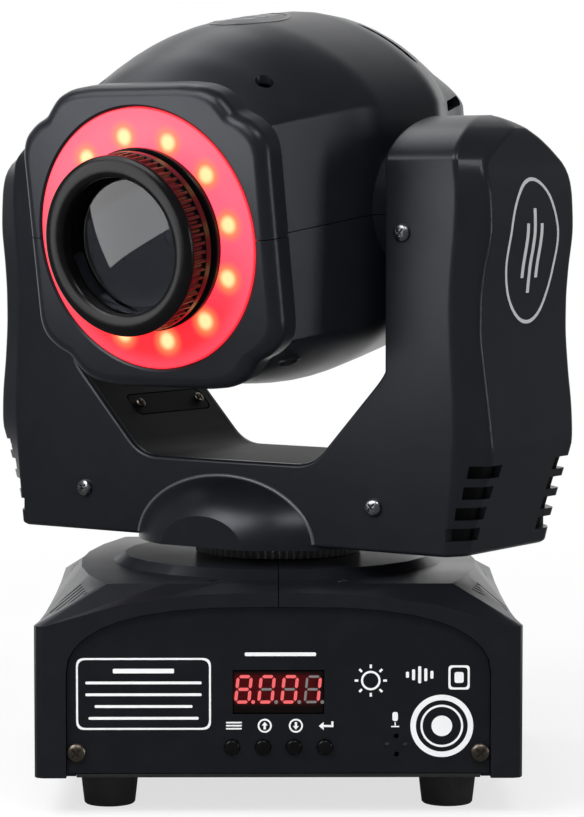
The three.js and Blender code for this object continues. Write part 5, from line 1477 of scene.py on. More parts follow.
@dataclass
class YokeUnit(Crew):
    """The yoke: shell, liner, collar, screws, badge and drive.

    An arm is read from tables by height: how far out its front strip and its outer face lie, and
    half the width of the outer face.
    """

    face: float = 32.2
    wall: float = 2.5
    inner: float = 65.0
    gusset_foot: float = 36.0
    beam_top: float = 99.9
    gusset_top: float = 131.5
    beam_bottom: float = 72.2
    beam_overlap: float = 4.0
    beam_round: float = 1.3
    line_round: float = 7.0
    spring: float = 201.5
    crown: float = 217.0
    foot_round: Pair = (1.1, 1.3)
    corner_rounds: tuple[float, ...] = (1.0, 1.2, 1.9, 1.9, 1.2, 1.0)
    heights: tuple[float, ...] = (
        72.2, 80.0, 85.0, 90.0, 95.0, 99.3, 103.0, 107.6, 111.5, 120.0, 132.0, 146.8, 155.0,
        165.0, 180.1, 190.0, 195.0, 198.0, 201.0, 203.0, 206.1, 209.3, 212.2, 214.0, 216.0, 217.0,
    )
    strips: tuple[float, ...] = (
        89.2, 89.9, 90.2, 90.6, 90.9, 91.2, 91.4, 91.7, 91.9, 91.8, 91.2, 90.4, 90.2,
        90.7, 92.1, 92.5, 92.3, 91.9, 91.8, 91.6, 91.0, 90.0, 88.6, 87.3, 84.9, 82.5,
    )
    reaches: tuple[float, ...] = (
        93.0, 95.1, 96.6, 98.1, 99.7, 101.1, 102.3, 103.2, 103.0, 102.3, 100.8, 99.5, 99.6,
        100.5, 102.7, 102.3, 101.4, 100.6, 99.7, 99.4, 99.0, 98.6, 97.6, 95.0, 90.0, 86.0,
    )
    outers: tuple[float, ...] = (
        25.4, 25.6, 25.7, 25.8, 25.9, 26.0, 26.3, 27.0, 27.5, 28.0, 28.3, 28.9, 28.9,
        28.6, 27.6, 27.6, 27.8, 27.4, 25.6, 22.6, 17.4, 11.2, 5.0, 2.4, 1.0, 0.7,
    )

    bell_bottom: float = 71.1
    bell_size: Pair = (49.0, 31.0)
    bell_flat: float = 46.0
    spindle_bore: float = 14.0
    spindle_cut: Pair = (68.0, 78.0)
    bead_size: Pair = (36.9, 23.4)
    bead_radius: float = 0.7

    slot_top: float = 102.4
    slot_pitch: float = 6.9
    slot_height: float = 4.2
    slot_floor: float = 1.2
    slot_reach: float = 106.0
    rear_slot: Pair = (16.5, 33.0)
    right_slots: tuple[Pair, ...] = ((18.4, 29.6), (20.2, 29.9), (20.8, 30.9), (21.2, 32.2))
    left_slots: tuple[Pair, ...] = ((16.5, 28.3), (16.5, 29.3), (16.5, 31.6), (16.5, 33.0))
    screen_low: float = 76.0
    screen_step: float = 1.4
    screen_walls: Pair = (0.15, 0.75)
    screen_sides: Pair = (72.0, 72.6)
    screen_stretch: float = 0.05

    plate_screw_at: Pair = (-13.5, 21.5)
    plate_screw_share: float = 0.51
    face_screw_at: tuple[Pair, ...] = ((60.8, 87.1), (71.7, 178.1))
    collar_teeth: int = 72
    collar_radii: Triple = (29.0, 27.7, 20.0)
    collar_layer: Pair = (65.8, 70.8)
    badge_at: Pair = (1.0, 172.1)
    badge_ovals: tuple[Pair, ...] = ((16.5, 24.2), (15.3, 23.0))
    badge_bars: tuple[Pair, ...] = ((-4.5, 9.0), (0.0, 14.0), (4.5, 9.0))
    badge_line: float = 0.9
    badge_depth: float = 0.1
    badge_lift: float = 0.04

    def read(self, table: Sequence[float], z: float) -> float:
        """A table's value at a height of the arm."""
        return ease(list(zip(self.heights, table)), z)

    def arm_section(self, z: float, inset: float, inner: float) -> list[Triple]:
        """A level ring of points round the right arm.

        Args:
            z: The height.
            inset: How far it is drawn in.
            inner: Where its inner side lies.

        Returns:
            The points.
        """
        share = max(0.0, (z - self.spring) / (self.crown - inset - self.spring))
        foot = max(0.0, 1 - (z - self.beam_bottom - inset) / self.foot_round[1])
        drawn = inset + self.foot_round[0] * foot * foot
        depth = (self.face - drawn) * max(0.0, 1 - share ** 1.6) ** 0.6
        reach = self.read(self.reaches, z) - drawn
        strip = self.read(self.strips, z) - drawn
        outer = max(0.3, min(self.read(self.outers, z) - drawn / 2, depth * 0.93))
        depth = max(depth, outer + 0.1)
        front = [(inner, -depth), (strip, -depth), (reach, -outer)]
        corners = front + [(x, -y) for x, y in reversed(front)]
        points: list[Triple] = []
        for i, corner in enumerate(corners):
            radius = 0.6 if inset else self.corner_rounds[i]
            eased = ease_corner(corners[i - 1], corner, corners[(i + 1) % 6], radius, 6)
            points += [(x, y, z) for x, y in eased]
        return points

    def arm(self, inset: float, inner: float) -> bpy.types.Object:
        """The right arm as a closed solid.

        Args:
            inset: How far it is drawn in.
            inner: Where its inner side lies.

        Returns:
            The arm.
        """
        low, high = self.beam_bottom + inset, self.crown - inset
        levels = [low + (self.spring - low) * i / 60 for i in range(61)]
        levels += [low + step for step in (0.2, 0.45, 0.8, 1.3)]
        rise = high - self.spring
        levels += [self.spring + rise * math.sin(math.pi / 2 * i / 26) for i in range(1, 26)]
        return Bench.loft([self.arm_section(z, inset, inner) for z in sorted(levels)])

    def inner_line(self, top: float) -> list[Pair]:
        """The inside line of the U from the top of the left arm to the top of the right.

        Args:
            top: The height at which both ends of the line lie.

        Returns:
            The points.
        """
        foot, knee = (self.gusset_foot, self.beam_top), (self.inner, self.gusset_top)
        right = [foot, knee, (self.inner, top)]
        line = [(-x, z) for x, z in reversed(right)] + right
        points = [line[0]]
        for before, here, after in zip(line, line[1:], line[2:]):
            points += ease_corner(before, here, after, self.line_round, 8)
        return [*points, line[-1]]

    def bell(self, inset: float) -> bpy.types.Object:
        """The bell that bulges round the pan axis, flattened in front and behind.

        Args:
            inset: How far it is drawn in.

        Returns:
            The bell as a closed solid.
        """
        low = self.bell_bottom + inset
        radius, rise = (size - inset for size in self.bell_size)
        turns = [math.pi / 2 * i / 28 for i in range(28)]
        profile = [(radius * math.cos(t), low + rise * math.sin(t)) for t in turns]
        body = Bench.lathe([(0.0, low), *profile, (0.0, low + rise)], "z", 128)
        flat = self.bell_flat - inset
        tool = Bench.slab(box_outline(-60, 60, -flat, flat), low - 1, self.beam_top - inset)
        return Bench.carve(body, tool, "INTERSECT")

    def bead(self) -> bpy.types.Object:
        """The fine raised line where the bell leaves the faces of the beam."""
        half, rise = self.bead_size
        beads = []
        for side in (-1, 1):
            rings = []
            for i in range(73):
                turn = math.radians(5 + 170 * i / 72)
                across, up = math.cos(turn) / half, math.sin(turn) / rise
                size = math.hypot(across, up)
                ring = []
                for k in range(10):
                    angle = math.radians(36 * k)
                    out = self.bead_radius * math.cos(angle) / size
                    ring.append((
                        half * math.cos(turn) + out * across,
                        side * (self.face + self.bead_radius * math.sin(angle)),
                        self.bell_bottom + rise * math.sin(turn) + out * up,
                    ))
                rings.append(ring)
            beads.append(Bench.loft(rings))
        return Bench.join(*beads)

    def slots(self) -> bpy.types.Object:
        """The stacked slots across the lower corners of both arms."""
        tools = []
        for row in range(4):
            high = self.slot_top - self.slot_pitch * row
            near = self.read(self.strips, high - 2) - self.slot_floor
            corners = (
                (-1, -1, self.left_slots[row]), (-1, 1, self.rear_slot),
                (1, -1, self.right_slots[row]), (1, 1, self.rear_slot),
            )
            for side, end, (start, far) in corners:
                across = sorted((side * near, side * self.slot_reach))
                outline = box_outline(*across, *sorted((end * start, end * far)))
                tools.append(Bench.slab(outline, high - self.slot_height, high))
        return Bench.join(*tools)

    def screens(self) -> None:
        """The dark sleeves behind the slots, just inside the walls of both arms."""
        levels = [self.screen_low + self.screen_step * i for i in range(21)]
        outer, inner = (
            [self.arm_section(z, self.wall + wall, side) for z in levels]
            for wall, side in zip(self.screen_walls, self.screen_sides)
        )
        hollow = []
        for i, ring in enumerate(inner):
            hollow.append([(x, y, z + (i - 10) * self.screen_stretch) for x, y, z in ring])
        right = Bench.carve(Bench.loft(outer), Bench.loft(hollow))
        left = Bench.copy(right, MIRROR)
        for obj, name in ((right, "vent_screen_right"), (left, "vent_screen_left")):
            Bench.smooth(obj, 30)
            self.keep(obj, name, "yoke", "black_shell", "baffle_black", Place.YOKE)

    def shell(self) -> None:
        """The moulded shell, built up from the beam, the arms and the bell, then hollowed."""
        top = self.gusset_top + self.beam_overlap
        end = self.inner + self.beam_overlap
        low = self.beam_bottom
        rim = [(end, top), (end, low), (-end, low), (-end, top)]
        whole = Bench.slab([*self.inner_line(top), *rim], -self.face, self.face, "y")
        edges = {"limit_method": "ANGLE", "angle_limit": math.radians(50)}
        Bench.apply(whole, "BEVEL", width=self.beam_round * MM, segments=8, **edges)
        for inset, operation in ((0.0, "UNION"), (self.wall, "DIFFERENCE")):
            if inset:
                low, high, end = self.beam_bottom + inset, top + 0.6, self.inner + 4.5
                line = [(x, z + 0.6) for x, z in self.inner_line(top)]
                rim = [(end, high), (end, low), (-end, low), (-end, high)]
                face = self.face - inset
                Bench.carve(whole, Bench.slab([*line, *rim], -face, face, "y"))
            arm = self.arm(inset, self.inner - inset * 0.2)
            other = Bench.copy(arm, MIRROR)
            for tool in (arm, other, self.bell(inset)):
                Bench.carve(whole, tool, operation)
        radius, (low, high) = self.spindle_bore, self.spindle_cut
        bore = [(0.0, low), (radius, low), (radius, high), (0.0, high)]
        Bench.carve(whole, Bench.lathe(bore, "z", 96))
        Bench.carve(whole, self.slots())
        Bench.smooth(whole, 15)
        black, place = "black_shell", Place.YOKE
        self.keep(whole, "yoke_shell_fine", "yoke", black, "shell_black", place, ("yoke_shell",))
        # The trim line takes the lightened grey finish: a painted highlight.
        self.keep(Bench.smooth(self.bead(), 60), "bell_trim", "yoke", black, "grey_painted_light", place)

    def lining(self) -> None:
        """The liner inside the U, and the cable plate with its two screws."""
        self.refine("yoke_liner", "yoke", "black_shell", "liner_black", 0.5, 2, 30.0)
        self.refine("cable_plate", "yoke", "black_shell", "baffle_black", 0.4, 2, 30.0)
        run, rise = self.inner - self.gusset_foot, self.gusset_top - self.beam_top
        share = self.plate_screw_share
        turn = Matrix.Rotation(math.pi / 2 - math.atan2(run, rise), 4, "Y")
        x, z = -self.gusset_foot - share * run, self.beam_top + share * rise
        seats = [shift(x, y, z) @ turn @ shift(0, 0, 0.6) for y in self.plate_screw_at]
        screw = Screw(2.0, 1.2)
        self.screws("cable_plate_screws", "yoke", "screw_bronze", screw, Place.YOKE, seats)

    def collar(self) -> None:
        """The ribbed collar under the yoke."""
        # Its finish is black lightened to grey: painted light on ribs that sit in shade.
        ring = toothed(self.collar_teeth, *self.collar_radii, *self.collar_layer, "z")
        Bench.soften(ring, 0.25, 1, 50)
        nodes = ("pan_collar",)
        self.keep(ring, "pan_collar_fine", "yoke", "black_shell", "grey_painted_light", Place.YOKE, nodes)

    def screws_on_faces(self) -> None:
        """The screws in both faces of the yoke."""
        seats = []
        for facing in (1, -1):
            for x, z in self.face_screw_at:
                seats += [face_seat(side * x, z, self.face, facing) for side in (-1, 1)]
        self.screws("yoke_screws", "yoke", "screw_nickel", Screw(3.1, 1.9), Place.YOKE, seats)

    def badge(self) -> None:
        """A plain oval ring with three bars on the outer face of each arm."""
        shapes = [band(*map(oval, self.badge_ovals), 0.0, self.badge_depth, "x")]
        for offset, half in self.badge_bars:
            low, high = offset - self.badge_line, offset + self.badge_line
            sides = ((0.0, low), (0.0, high), (self.badge_depth, high), (self.badge_depth, low))
            rings = [[(x, y, half * (i / 7 - 1)) for x, y in sides] for i in range(15)]
            shapes.append(Bench.loft(rings))
        right = Bench.join(*shapes)
        for vertex in right.data.vertices:
            vertex.co.z += self.badge_at[1] * MM
            vertex.co.x += (self.read(self.reaches, vertex.co.z / MM) + self.badge_lift) * MM
            vertex.co.y += self.badge_at[0] * MM
        left = Bench.copy(right, MIRROR)
        for obj, name in ((right, "arm_badge_right"), (left, "arm_badge_left")):
            self.keep(obj, name, "yoke", "black_shell", "print_grey", Place.YOKE)

    def insides(self) -> None:
        """The bracket, spindle and tilt drive."""
        self.dress("steel_zinc", "yoke_bracket")
        self.dress("steel_bright", "pan_spindle", "tilt_bearing_left", "tilt_bearing_right")
        self.dress("aluminium_bare", "pan_pulley", "tilt_motor_pulley")
        self.dress("case_black", "tilt_motor")
        self.dress("belt_black", "tilt_belt")

    def build(self) -> None:
        """Builds the whole yoke."""
        self.shell()
        self.screens()
        self.lining()
        self.collar()
        self.screws_on_faces()
        self.badge()
        self.insides()


# Head.


@dataclass
class HeadUnit(Crew):
    """The lamp head: shells, glowing ring, lens, focus ring and light engine.

    The skin is read from tables of shares: where a section lies between the neck and the rear face,
    and how wide, high, low and flat it is there.
    """

    front: float = -77.4
    neck: float = -67.4
    rear: float = 68.5
    wall: float = 2.5
    half_width: float = 56.0
    top: float = 66.0
    bottom: float = 60.0
    ring_steps: int = 26
    stations: int = 64
    arch_blend: float = 0.22
    arch_power: float = 1.6
    places: tuple[float, ...] = (0, 0.128, 0.29, 0.378, 0.628, 0.717, 0.776, 0.864, 0.982, 1.0)
    widths: tuple[float, ...] = (0.804, 0.875, 0.961, 1, 1, 0.929, 0.857, 0.782, 0.679, 0.625)
    tops: tuple[float, ...] = (0.697, 0.871, 0.985, 1, 0.985, 0.955, 0.924, 0.788, 0.606, 0.545)
    bottoms: tuple[float, ...] = (0.75, 0.883, 0.975, 1, 0.983, 0.958, 0.917, 0.817, 0.65, 0.6)
    sides: tuple[float, ...] = (0.53, 0.53, 0.53, 0.515, 0.47, 0.455, 0.44, 0.424, 0.379, 0.348)

    bezel_quarter: tuple[Pair, ...] = (
        (50.1, 29.5), (48.3, 34.4), (43.6, 38.4), (38.6, 40.6), (36.6, 43.2), (33.0, 47.2),
        (27.0, 49.6), (18.5, 50.5),
    )
    bezel_round: float = 2.6
    bezel_roll: float = 4.6
    bezel_shrink: float = 0.088
    bezel_seat: tuple[Pair, ...] = (
        (0, -90), (44.5, -90), (44.5, -77.41), (43.8, -76.9), (43.8, -70.4), (29.3, -70.4),
        (29.3, -60), (0, -60),
    )
    boss_radius: float = 24.0
    boss_root: float = 53.2
    boss_face: float = 62.7
    boss_ease: float = 0.8
    axle_bore: float = 6.3
    well_at: Pair = (34.5, -51)
    well_radius: float = 3.0
    well_depth: float = 36.0
    column_radius: float = 4.4
    column_height: float = 44.0
    side_vent: tuple[float, ...] = (-7.0, 7.0, -1.8, 1.8)
    side_vent_stretch: float = 10 / 7
    side_vent_round: float = 1.2
    side_vent_at: Pair = (45.5, 51)
    side_vent_turn: float = 0.34
    roof_vent: tuple[float, ...] = (33, 11, 24.5, 29.5, 2.2)
    rear_vent_circle: float = 25.0

    ring_profile: tuple[Pair, ...] = (
        (29.5, -74.6), (29.5, -76.9), (29.8, -77.2), (43.2, -77.2), (43.5, -76.9), (43.5, -74.6),
    )
    sleeve_profile: tuple[Pair, ...] = (
        (26.6, -79.45), (30.2, -79.45), (30.5, -79.1), (30.5, -77.55), (29.0, -77.55),
        (29.0, -45.45), (26.6, -45.45),
    )
    cell_profile: tuple[Pair, ...] = (
        (23.3, -90.6), (26.0, -90.6), (26.3, -90.3), (26.3, -58.6), (23.3, -58.6),
        (23.3, -77.2), (20.8, -77.2), (20.8, -79.7), (23.3, -79.7),
    )
    baffle_profile: tuple[Pair, ...] = ((7.0, -62.0), (20.6, -79.4), (20.6, -78.8), (7.0, -61.4))
    lens_radius: float = 23.0
    lens_layer: Pair = (-90.4, -80.0)
    lens_crown: float = 3.0
    focus_profile: tuple[Pair, ...] = (
        (22.6, -91.8), (22.8, -92.5), (23.5, -93.2), (24.7, -93.6), (26.2, -93.75), (27.7, -93.6),
        (28.9, -93.2), (29.7, -92.5), (29.9, -91.8), (29.9, -91.3), (29.0, -91.0), (29.0, -84.9),
        (29.9, -84.6), (29.9, -82.2), (29.3, -81.6), (26.6, -81.6), (26.6, -90.9), (22.6, -90.9),
    )
    knurl_teeth: int = 64
    knurl_radii: Triple = (29.85, 28.9, 28.2)
    knurl_layer: Pair = (-91.2, -84.7)
    medallion_at: Pair = (2.0, -10.0)
    medallion_ovals: tuple[Pair, ...] = ((12.0, 17.5), (10.6, 16.0))
    medallion_bars: tuple[float, ...] = (-7.0, 0.0, 7.0)

    def section(self, place: float, inset: float) -> list[Triple]:
        """One ring of points round the head.

        Args:
            place: The share of the way from the neck to the rear face.
            inset: How far it is drawn in.

        Returns:
            The points, in millimetres.
        """
        def read(values: tuple[float, ...]) -> float:
            """A table's value at this place."""
            return ease(list(zip(self.places, values)), place)

        y = self.neck + place * (self.rear - inset - self.neck)
        width = read(self.widths) * self.half_width - inset
        flat = read(self.sides) * self.top - inset / 2
        top = read(self.tops) * self.top - inset
        bottom = read(self.bottoms) * self.bottom - inset
        soft, power = self.arch_blend, self.arch_power
        span = (1 + soft * soft) ** (power / 2) - soft ** power
        points = []
        for direction, height in ((1, top), (-1, bottom)):
            for i in range(self.ring_steps + 1):
                across = math.cos(math.pi * i / self.ring_steps)
                drop = ((across * across + soft * soft) ** (power / 2) - soft ** power) / span
                rise = max(0.0, 1 - drop) ** (1 / power)
                z = flat + (height - flat) * rise
                points.append((direction * across * width, y, direction * z))
        return points

    def skin(self) -> bpy.types.Object:
        """The head's walls from the neck to the rear face, as one closed shell."""
        shares = [i / self.stations for i in range(self.stations)] + [0.982, 0.99, 1.0]
        outer = [self.section(share, 0) for share in sorted(shares)]
        inner = [self.section(share, self.wall) for share in sorted(shares, reverse=True)]
        rings = [*outer, *inner]
        count = len(rings[0])
        last = len(outer) - 1
        faces = []
        for r in range(len(rings)):
            if r == last:
                continue
            here, ahead = r * count, ((r + 1) % len(rings)) * count
            for i in range(count):
                j = (i + 1) % count
                faces.append((here + i, ahead + i, ahead + j, here + j))
        faces.append(range(last * count, (last + 1) * count))
        faces.append(range((last + 2) * count - 1, (last + 1) * count - 1, -1))
        return Bench.closed([p for ring in rings for p in ring], faces)

    def bezel(self) -> bpy.types.Object:
        """The notched eight-sided front with its ring seat and lens opening."""
        upper = [*self.bezel_quarter, *((-x, z) for x, z in reversed(self.bezel_quarter))]
        corners = upper + [(x, -z) for x, z in reversed(upper)]
        outline = rounded(corners, self.bezel_round, 6)
        rings = []
        for i in range(11):
            turn = math.pi / 2 * i / 10
            y = self.front + self.bezel_roll * (1 - math.cos(turn))
            size = 1 - self.bezel_shrink * (1 - math.sin(turn))
            rings.append([(x * size, y, z * size) for x, z in outline])
        rings.append([(x, self.neck + 0.4, z) for x, z in outline])
        return Bench.carve(Bench.loft(rings), Bench.lathe(self.bezel_seat, "y", 160))

    def openings(self) -> bpy.types.Object:
        """Every vent, well and axle hole of the head, as one cutting tool."""
        tools = []
        short = rounded(box_outline(*self.side_vent), self.side_vent_round, 3)
        vent = [(u * self.side_vent_stretch, v) for u, v in short]
        x, y = self.side_vent_at
        middle, half, low, high, radius = self.roof_vent
        for side in (-1, 1):
            turn = Matrix.Rotation(side * self.side_vent_turn, 4, "Z")
            for z in (12, 20, 28):
                for up in (-1, 1):
                    tool = Bench.slab(vent, -7, 7, "x")
                    tool.data.transform(shift(side * x, y, up * z) @ turn)
                    tools.append(tool)
            roof = box_outline(side * middle - half, side * middle + half, low, high, radius)
            tools.append(Bench.slab(roof, 33, 70, "z"))
            well = circle((side * self.well_at[0], self.well_at[1]), self.well_radius)
            tools.append(Bench.slab(well, self.well_depth, 70))
            tools.append(Bench.slab(well, -66, -self.well_depth))
        for z in (5, 11, 17, 23):
            reach = math.sqrt(self.rear_vent_circle ** 2 - z * z)
            for up in (-1, 1):
                outline = box_outline(-reach, reach, up * z - 1.5, up * z + 1.5, 1.3)
                tools.append(Bench.slab(outline, 65, 70, "y"))
        tools.append(Bench.slab(arc((0, 0), self.axle_bore, 0, 350, 35), -70, 70, "x"))
        return Bench.join(*tools)

    def bosses(self) -> list[bpy.types.Object]:
        """The round bosses that carry the axles, and the screw columns behind the bezel."""
        radius, face, eased = self.boss_radius, self.boss_face, self.boss_ease
        right = Bench.lathe([
            (0, self.boss_root), (radius, self.boss_root), (radius, face - eased),
            (radius - eased, face), (0, face),
        ], "x", 96)
        x, y = self.well_at
        outlines = [circle((side * x, y), self.column_radius) for side in (-1, 1)]
        height = self.column_height
        columns = Bench.join(*(Bench.slab(outline, -height, height) for outline in outlines))
        return [Bench.copy(right, MIRROR), right, columns]

    def shells(self) -> None:
        """The upper and lower halves, each with its part of the bezel and bosses."""
        whole = self.skin()
        for tool in (*self.bosses(), self.bezel()):
            Bench.carve(whole, tool, "UNION")
        Bench.carve(whole, self.openings())
        block = box_outline(-80, 80, -90, 90)
        for name, low, high in (("upper", 0.15, 80), ("lower", -80, -0.15)):
            half = Bench.carve(Bench.copy(whole), Bench.slab(block, low, high), "INTERSECT")
            Bench.smooth(half, 30)
            node, slot = f"head_{name}_shell", "black_shell"
            self.keep(half, f"{node}_fine", "head", slot, "shell_black", Place.HEAD, (node,))
        bpy.data.objects.remove(whole)

    def ring(self) -> None:
        """The glowing ring and the board behind it."""
        obj = Bench.smooth(Bench.lathe(self.ring_profile, "y", 180), 30)
        nodes = ("ring_diffuser",)
        self.keep(obj, "ring_diffuser_fine", "head", "ring_glow", "ring_red", Place.HEAD, nodes)
        self.dress("board_green", "ring_board")

    def lens(self) -> None:
        """The sleeve, the sliding cell, the front lens and the dark cone behind it."""
        front, back = self.lens_layer
        shares = [i / 12 for i in range(13)]
        crown = [(self.lens_radius * u, front + self.lens_crown * u ** 2) for u in shares]
        glass = (*crown, (self.lens_radius, back), (0.0, back))
        tube, glassy, dark = "black_anodised", "lens_glass", "tube_black"
        for node, profile, body, slot, finish, angle in (
            ("lens_sleeve", self.sleeve_profile, "head", tube, dark, 35),
            ("lens_cell", self.cell_profile, "lens_cell", tube, dark, 35),
            ("front_lens", glass, "lens_cell", glassy, "lens_dark", 30),
        ):
            obj = Bench.smooth(Bench.lathe(profile, "y", 128), angle)
            self.keep(obj, f"{node}_fine", body, slot, finish, Place.HEAD, (node,))
        baffle = Bench.smooth(Bench.lathe(self.baffle_profile, "y", 96), 30)
        self.keep(baffle, "lens_baffle", "lens_cell", tube, "baffle_black", Place.HEAD)

    def focus(self) -> None:
        """The focus ring with its straight knurl."""
        core = Bench.smooth(Bench.lathe(self.focus_profile, "y", 160), 30)
        knurl = toothed(self.knurl_teeth, *self.knurl_radii, *self.knurl_layer, "y")
        obj = Bench.join(core, Bench.soften(knurl, 0.22, 2, 50))
        node, slot = "focus_ring", "black_anodised"
        self.keep(obj, f"{node}_fine", node, slot, "tube_black", Place.HEAD, (node,))

    def screws_in_wells(self) -> None:
        """The screws at the bottom of the wells."""
        x, y = self.well_at
        over = Matrix.Rotation(math.pi, 4, "X")
        seats = []
        for side in (-1, 1):
            seats.append(shift(side * x, y, self.well_depth))
            seats.append(shift(side * x, y, -self.well_depth) @ over)
        self.screws("head_screws", "head", "screw_nickel", Screw(2.6, 1.7), Place.HEAD, seats)

    def roof(self, x: float, y: float) -> float:
        """The height of the head's upper skin.

        Args:
            x: The place across the head.
            y: The place along it.

        Returns:
            The height over the tilt axis.
        """
        place = (y - self.neck) / (self.rear - self.neck)
        ring = self.section(place, 0)[: self.ring_steps + 1]
        for (x1, _, z1), (x0, _, z0) in zip(ring, ring[1:]):
            if x0 <= x <= x1:
                return z0 + (z1 - z0) * (x - x0) / (x1 - x0)
        return ring[0][2]

    def medallion(self) -> None:
        """A plain oval with three slanted bars on the top of the head."""
        ring = band(*map(oval, self.medallion_ovals), -0.1, 0.14, "z")
        bars = []
        for offset in self.medallion_bars:
            left = [(-4.6 + 0.92 * i, offset - 4.3 + 0.64 * i) for i in range(11)]
            right = [(u, v + 2.2) for u, v in reversed(left)]
            bars.append(Bench.slab([*left, *right], -0.1, 0.16))
        for obj, name, finish in (
            (ring, "medallion_ring", "tube_black"),
            (Bench.join(*bars), "medallion_bars", "print_grey"),
        ):
            for vertex in obj.data.vertices:
                vertex.co.x += self.medallion_at[0] * MM
                vertex.co.y += self.medallion_at[1] * MM
                vertex.co.z += self.roof(vertex.co.x / MM, vertex.co.y / MM) * MM
            self.keep(obj, name, "head", "black_shell", finish, Place.HEAD)

    def insides(self) -> None:
        """The light engine and the axles."""
        self.refine("heatsink", "head", "bare_aluminium", "aluminium_bare", 0.25, 1)
        self.refine("fan_frame", "head", "black_shell", "rubber_black", 0.4)
        self.refine("fan_rotor", "fan_rotor", "black_shell", "case_black", 0.3)
        self.dress("steel_zinc", "head_chassis")
        self.dress("steel_bright", "tilt_axle_left", "tilt_axle_right")
        self.dress("aluminium_bare", "tilt_pulley", "led_board")
        self.dress("glass_clear", "condenser_lens")
        self.dress("case_black", "gobo_motor", "colour_motor", "gobo_wheel")
        self.dress("glass_filter", "colour_wheel")

    def build(self) -> None:
        """Builds the whole head."""
        self.shells()
        self.ring()
        self.lens()
        self.focus()
        self.screws_in_wells()
        self.medallion()
        self.insides()


# Studio.


@dataclass(frozen=True)
class Softbox:
    """One soft studio lamp: place and size in millimetres, power in watts."""

    name: str
    at: Triple
    size: Pair
    power: float
    aim: Triple = (0.0, 0.0, 130.0)
    roll: float = 0.0

    def light(self) -> None:
        """Adds the lamp."""
        data = bpy.data.lights.new(self.name, "AREA")
        data.shape = "RECTANGLE"
        data.size, data.size_y = self.size[0] * MM, self.size[1] * MM
        data.energy = self.power
        lamp = bpy.data.objects.new(self.name, data)
        lamp.location = Vector(self.at) * MM
        turn = (Vector(self.aim) - Vector(self.at)).to_track_quat("-Z", "Y")
        roll = Matrix.Rotation(math.radians(self.roll), 3, "Z")
        lamp.rotation_euler = (turn.to_matrix() @ roll).to_euler()
        bpy.context.scene.collection.objects.link(lamp)


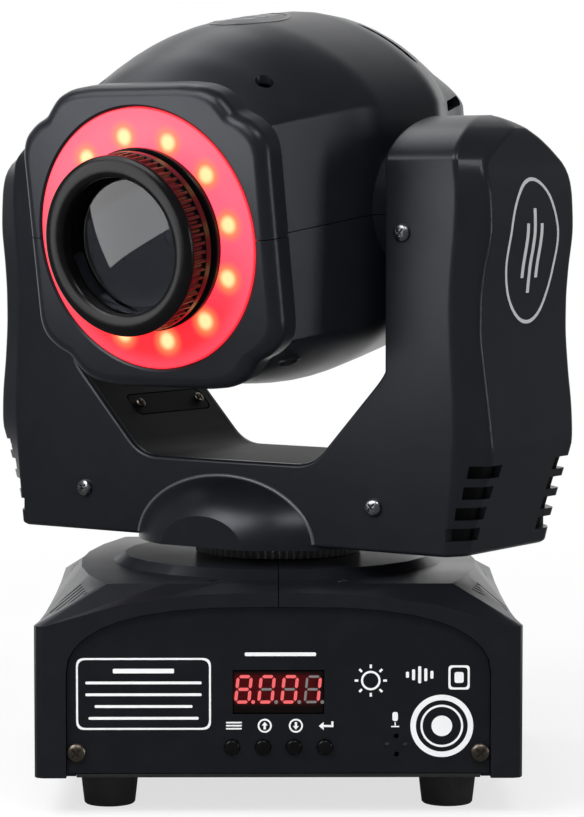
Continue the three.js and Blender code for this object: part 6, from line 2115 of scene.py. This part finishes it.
@dataclass
class Studio:
    """The camera at the photograph's angle, the lamps, the floor and the white surroundings."""

    camera_at: Triple = (-1.46, -1058.96, 190.99)
    yaw: float = -0.006
    pitch: float = 0.071
    focal: float = 133.3
    surround: float = 0.62
    room: float = 0.12
    floor_half: float = 4000.0
    floor_reach: Pair = (240.0, 800.0)
    lamps: tuple[Softbox, ...] = (
        Softbox("key", (-760, -760, 1150), (700, 700), 8.6),
        Softbox("side", (1000, -330, 180), (110, 420), 1.4),
        Softbox("top", (-400, 720, 1220), (900, 500), 2.6),
        Softbox("front", (250, -800, 1100), (500, 300), 3.2),
        Softbox("card", (-200, -142, 193), (150, 136), 0.24, (-100, -142, 193), 12.0),
        Softbox("brow", (-200, -105, 330), (120, 110), 0.14, (-100, -105, 290)),
    )

    def camera(self) -> None:
        """Sets the camera."""
        data = bpy.data.cameras.new("camera")
        data.lens = self.focal
        data.sensor_width = 36.0
        data.clip_start, data.clip_end = 0.05, 30.0
        camera = bpy.data.objects.new("camera", data)
        camera.location = Vector(self.camera_at) * MM
        camera.rotation_euler = Euler((math.pi / 2 - self.pitch, 0, self.yaw))
        bpy.context.scene.collection.objects.link(camera)
        bpy.context.scene.camera = camera

    def rays(self, tree: Tree) -> tuple[Sock, Sock]:
        """Tells the rays that show the surroundings themselves.

        Args:
            tree: The tree.

        Returns:
            1 for rays in view or through glass, and 1 for rays in gloss.
        """
        camera, glass, gloss = (
            tree.node("ShaderNodeLightPath", out=f"Is {kind} Ray")
            for kind in ("Camera", "Transmission", "Glossy")
        )
        return camera.math("MAXIMUM", glass), gloss

    def mirrored(self, depth: Sock) -> Sock:
        """How bright the surroundings are in gloss: white behind the object, dimmer in front.

        Args:
            depth: The share of a direction that leads away from the camera.

        Returns:
            The brightness.
        """
        return depth.fade(0.5, 0.97) * (1 - self.room) + self.room

    def floor(self) -> None:
        """The pale floor, which keeps the object's shadow."""
        half = self.floor_half
        corners = ((-half, -half), (half, -half), (half, half), (-half, half))
        obj = Bench.mesh([(x, y, FLOOR_HEIGHT) for x, y in corners], (), [(0, 1, 2, 3)])
        obj.name = "floor"
        tree = Tree("floor_pale")
        patch = tree.noise(3.0, 2.0)
        pale = blend(tree, patch, (0.93,) * 3, (0.95,) * 3)
        shade = tree.node("ShaderNodeBsdfDiffuse", None, {"Color": pale})
        seen, gloss = self.rays(tree)
        x, y, _ = tree.axes(Place.BASE)
        radius = (x * x + y * y).math("SQRT") + 1.0
        level = gloss * (self.mirrored(y / radius) - 1.0) + 1.0
        white = tree.node("ShaderNodeEmission", None, {"Color": (1, 1, 1, 1), "Strength": level})
        share = (seen * (radius.fade(*self.floor_reach) * 0.3 + 0.7)).math("MAXIMUM", gloss)
        mixed = tree.node("ShaderNodeMixShader", None, {0: share, 1: shade, 2: white})
        obj.data.materials.append(tree.close(mixed))

    def world(self) -> None:
        """White in view, an even soft light on the object, and a dimmer room in its gloss."""
        tree = Tree("surroundings", world=True)
        seen, gloss = self.rays(tree)
        direction = tree.node("ShaderNodeTexCoord", out="Generated")
        split = tree.node("ShaderNodeSeparateXYZ", None, {"Vector": direction})
        depth = Sock(tree, split.socket.node.outputs[1])
        level = gloss * (self.mirrored(depth) - self.surround) + self.surround
        strength = seen * (1.0 - level) + level
        white = {"Color": (1, 1, 1, 1), "Strength": strength}
        bpy.context.scene.world = tree.close(tree.node("ShaderNodeBackground", None, white))

    def build(self) -> None:
        """Sets up the whole studio."""
        bpy.context.scene.view_settings.view_transform = "Standard"
        self.camera()
        self.floor()
        self.world()
        for lamp in self.lamps:
            lamp.light()


def main() -> None:
    """Builds the studio and every sub-assembly in order."""
    logging.basicConfig(level=logging.INFO, format="%(message)s")
    Studio().build()
    finishes = Finishes()
    for unit in (BaseUnit(finishes), YokeUnit(finishes), HeadUnit(finishes)):
        unit.build()
        log.info("%s done", type(unit).__name__)


if __name__ == "__main__":
    main()
